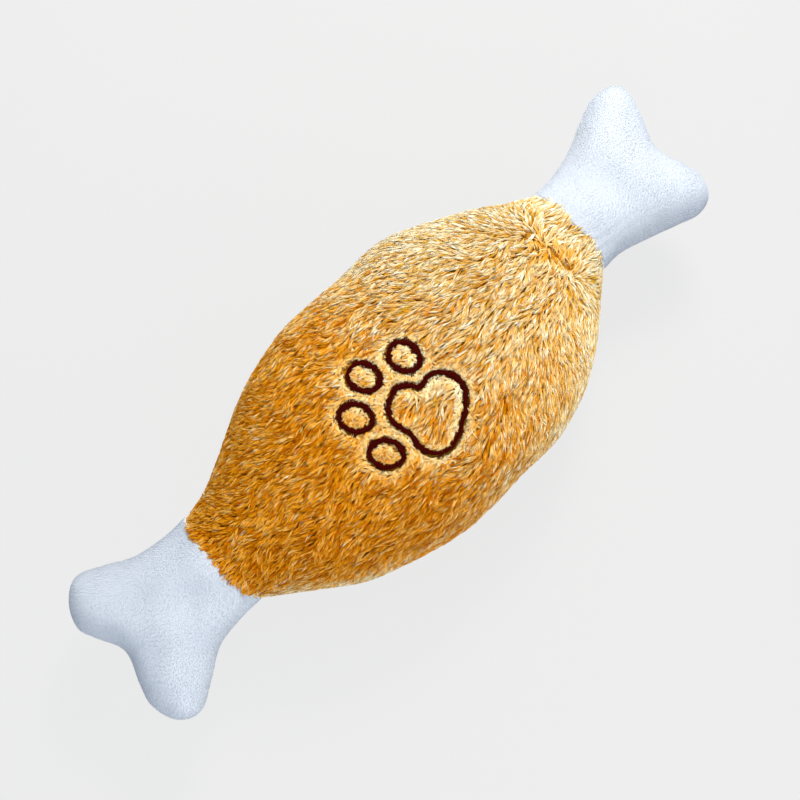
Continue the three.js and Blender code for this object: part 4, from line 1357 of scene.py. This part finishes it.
class PLUSHBONE_OT_fill(bpy.types.Operator):
    """Stuff the body and ends with matted fibre, and lay the sheet behind the embroidery"""

    bl_idname = "plush_bone.fill"
    bl_label = "Fill and Backing"

    def execute(self, context):
        inside = context.scene.plush_bone.inside
        finish = fibre_finish("fibre_fill", inside.fibre, darker(inside.fibre, 0.72))
        for node in ("body_fill", "left_end_fill", "right_end_fill"):
            piece = place_piece(self.matted(node), finish, [node])
        self.add_backing(inside)
        return {"FINISHED"}

    def matted(self, node):
        """The space that the fibre fills, as a lumpy mass that keeps inside it"""
        shape = bmesh.new()
        shape.from_mesh(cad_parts[node].data)
        bmesh.ops.remove_doubles(shape, verts=shape.verts, dist=0.002 * MM)
        for longest in (12, 6, 3.2):
            edges = [edge for edge in shape.edges if edge.calc_length() > longest * MM]
            bmesh.ops.subdivide_edges(shape, edges=edges, cuts=1, use_grid_fill=False)
            bmesh.ops.triangulate(shape, faces=shape.faces)
        shape.normal_update()
        moves = []
        for point in shape.verts:
            lump = noise.fractal(point.co / (7 * MM), 0.8, 2.0, 3)
            moves.append(point.normal * (0.12 - 0.12 * min(max(lump + 0.5, 0), 1)) * -MM)
        for point, move in zip(shape.verts, moves):
            point.co += move
        mesh = bpy.data.meshes.new(f"{node}_fibre")
        shape.to_mesh(mesh)
        shape.free()
        return mesh

    def add_backing(self, inside):
        """The thin sheet behind the embroidery, stretched over the dome of the fill"""
        low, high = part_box("embroidery_backing")
        centre = (low + high) / 2 / MM
        half = (high - low) / 2 / MM
        rows, columns = BACKING_GRID
        share = np.linspace(0, 1, rows + 1)[:, None]
        turn = np.linspace(0, 2 * math.pi, columns, endpoint=False)[None]
        ragged = 1 - 0.012 * (1 + np.sin(9 * turn) * np.cos(4 * turn)) * share**6
        x = centre.x + half.x * 0.985 * share * ragged * np.cos(turn)
        y = centre.y + half.y * 0.985 * share * ragged * np.sin(turn)
        top = PILE_CLOTH + FILL_CLEARANCE + 0.04
        layers = []
        for inset in (top, top + BACKING_THICKNESS - 0.08):
            layers.append(np.stack([x, y, front_height(x, y, inset)], -1)[1:].reshape(-1, 3))
            middle = np.array([[centre.x, centre.y, front_height(centre.x, centre.y, inset)]])
            layers.append(middle)
        each = rows * columns + 1
        number = np.arange(columns)
        quads = grid_faces(rows, columns, wrap=True)
        inner = np.stack([np.full(columns, rows * columns), number, (number + 1) % columns], 1)
        outer = (rows - 1) * columns + number
        beside = (rows - 1) * columns + (number + 1) % columns
        rim = np.stack([outer, beside, beside + each, outer + each], 1)
        faces = [quads, quads[:, ::-1] + each, rim, inner, inner[:, ::-1] + each]
        mesh = make_mesh("embroidery_backing_sheet", np.concatenate(layers), faces)
        face_outwards(mesh)
        finish = cloth_finish("backing_sheet", inside.backing, darker(inside.backing, 0.85), 0.4, 0.05)
        piece = place_piece(mesh, finish, ["embroidery_backing"])


# Squeaker


def rounded(profile, reach, steps=5):
    """A line with its corners rounded off, each by at most reach"""
    points = [profile[0]]
    for before, corner, after in zip(profile, profile[1:], profile[2:]):
        before, corner, after = (np.array(p, float) for p in (before, corner, after))
        back = before - corner
        on = after - corner
        own = min(reach, np.linalg.norm(back) / 2.1, np.linalg.norm(on) / 2.1)
        start = corner + unit(back) * own
        stop = corner + unit(on) * own
        for t in np.linspace(0, 1, steps):
            points.append(tuple(start * (1 - t) ** 2 + 2 * corner * t * (1 - t) + stop * t**2))
    points.append(profile[-1])
    return points


class PLUSHBONE_OT_squeaker(bpy.types.Operator):
    """Mould the squeaker's soft can, and finish its plug, reed and wedge"""

    bl_idname = "plush_bone.squeaker"
    bl_label = "Squeaker"

    def execute(self, context):
        inside = context.scene.plush_bone.inside
        self.add_bladder(inside)
        hard = plastic_finish("hard_red_plastic", inside.plug, darker(inside.plug, 0.8), 0.3)
        film = plastic_finish("reed_film", inside.reed, darker(inside.reed, 0.9), 0.15, 0.3)
        finishes = {"squeaker_plug": hard, "squeaker_reed_wedge": hard, "squeaker_reed": film}
        for node, finish in finishes.items():
            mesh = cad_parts[node].data
            mesh.materials.clear()
            mesh.materials.append(finish)
        return {"FINISHED"}

    def add_bladder(self, inside):
        """The can with its fold and socket: one profile turned round Z"""
        wall = BLADDER_WALL
        radius, bend = BLADDER_RADIUS, BLADDER_CORNER
        waist = (BLADDER_BOTTOM + BLADDER_SHOULDER) / 2

        def side(inset):
            return [
                (radius - bend, BLADDER_BOTTOM + inset),
                (radius - inset, BLADDER_BOTTOM + bend),
                (radius - inset, waist - BLADDER_FOLD),
                (radius - BLADDER_FOLD - inset, waist),
                (radius - inset, waist + BLADDER_FOLD),
                (radius - inset, BLADDER_SHOULDER - bend),
                (radius - bend, BLADDER_SHOULDER - inset),
            ]

        collar = SOCKET_BORE + wall
        outside = [(0, BLADDER_BOTTOM), *side(0), (collar, BLADDER_SHOULDER), (collar, SOCKET_TOP)]
        hole = [(SOCKET_BORE, SOCKET_TOP), (SOCKET_BORE, BLADDER_SHOULDER - wall)]
        within = [*side(wall)[::-1], (0, BLADDER_BOTTOM + wall)]
        profile = np.array(rounded([*outside, *hole, *within], 0.9))
        sides = BLADDER_SIDES
        turn = np.linspace(0, 2 * math.pi, sides, endpoint=False)[None]
        out, height = profile[1:-1, :1], profile[1:-1, 1:]
        height = np.broadcast_to(height, (len(out), sides))
        skin = np.stack([out * np.cos(turn), out * np.sin(turn), height], -1)
        poles = np.array([[0, 0, profile[0, 1]], [0, 0, profile[-1, 1]]])
        points = np.concatenate([skin.reshape(-1, 3), poles]) + np.array([0, 0, MID_HEIGHT])
        rows = len(out)
        number = np.arange(sides)
        beside = (number + 1) % sides
        top = (rows - 1) * sides
        first = np.stack([np.full(sides, rows * sides), beside, number], 1)
        last = np.stack([np.full(sides, rows * sides + 1), top + number, top + beside], 1)
        mesh = make_mesh("squeaker_can", points, [grid_faces(rows, sides, wrap=True), first, last])
        face_outwards(mesh)
        finish = plastic_finish("soft_plastic", inside.bladder, darker(inside.bladder, 0.9), 0.4)
        place_piece(mesh, finish, ["squeaker_bladder"])


# Panel


OPERATORS = (
    PLUSHBONE_OT_stage,
    PLUSHBONE_OT_body_cloth,
    PLUSHBONE_OT_body_pile,
    PLUSHBONE_OT_ends,
    PLUSHBONE_OT_paw,
    PLUSHBONE_OT_seam_threads,
    PLUSHBONE_OT_fill,
    PLUSHBONE_OT_squeaker,
)


class PLUSHBONE_PT_panel(bpy.types.Panel):
    """The pieces of the toy and what they can be changed by"""

    bl_idname = "PLUSHBONE_PT_panel"
    bl_label = "Plush Bone"
    bl_space_type = "VIEW_3D"
    bl_region_type = "UI"
    bl_category = "Plush Bone"

    def draw(self, context):
        settings = context.scene.plush_bone
        for operator in OPERATORS:
            self.layout.operator(operator.bl_idname)
        for group in ("pile", "ends", "stitches", "seams", "inside", "stage"):
            box = self.layout.box()
            own = getattr(settings, group)
            for key in own.__annotations__:
                box.prop(own, key)


CLASSES = (
    PileSettings,
    EndSettings,
    StitchSettings,
    SeamSettings,
    InsideSettings,
    StageSettings,
    PlushBoneSettings,
    *OPERATORS,
    PLUSHBONE_PT_panel,
)


def register():
    for item in CLASSES:
        bpy.utils.register_class(item)
    bpy.types.Scene.plush_bone = PointerProperty(type=PlushBoneSettings)


def unregister():
    del bpy.types.Scene.plush_bone
    for item in reversed(CLASSES):
        bpy.utils.unregister_class(item)


def main():
    """Makes the toy and its stage"""
    register()
    bpy.ops.plush_bone.stage()
    bpy.ops.plush_bone.body_cloth()
    bpy.ops.plush_bone.body_pile()
    bpy.ops.plush_bone.ends()
    bpy.ops.plush_bone.paw()
    bpy.ops.plush_bone.seam_threads()
    bpy.ops.plush_bone.fill()
    bpy.ops.plush_bone.squeaker()


if __name__ == "__main__":
    main()
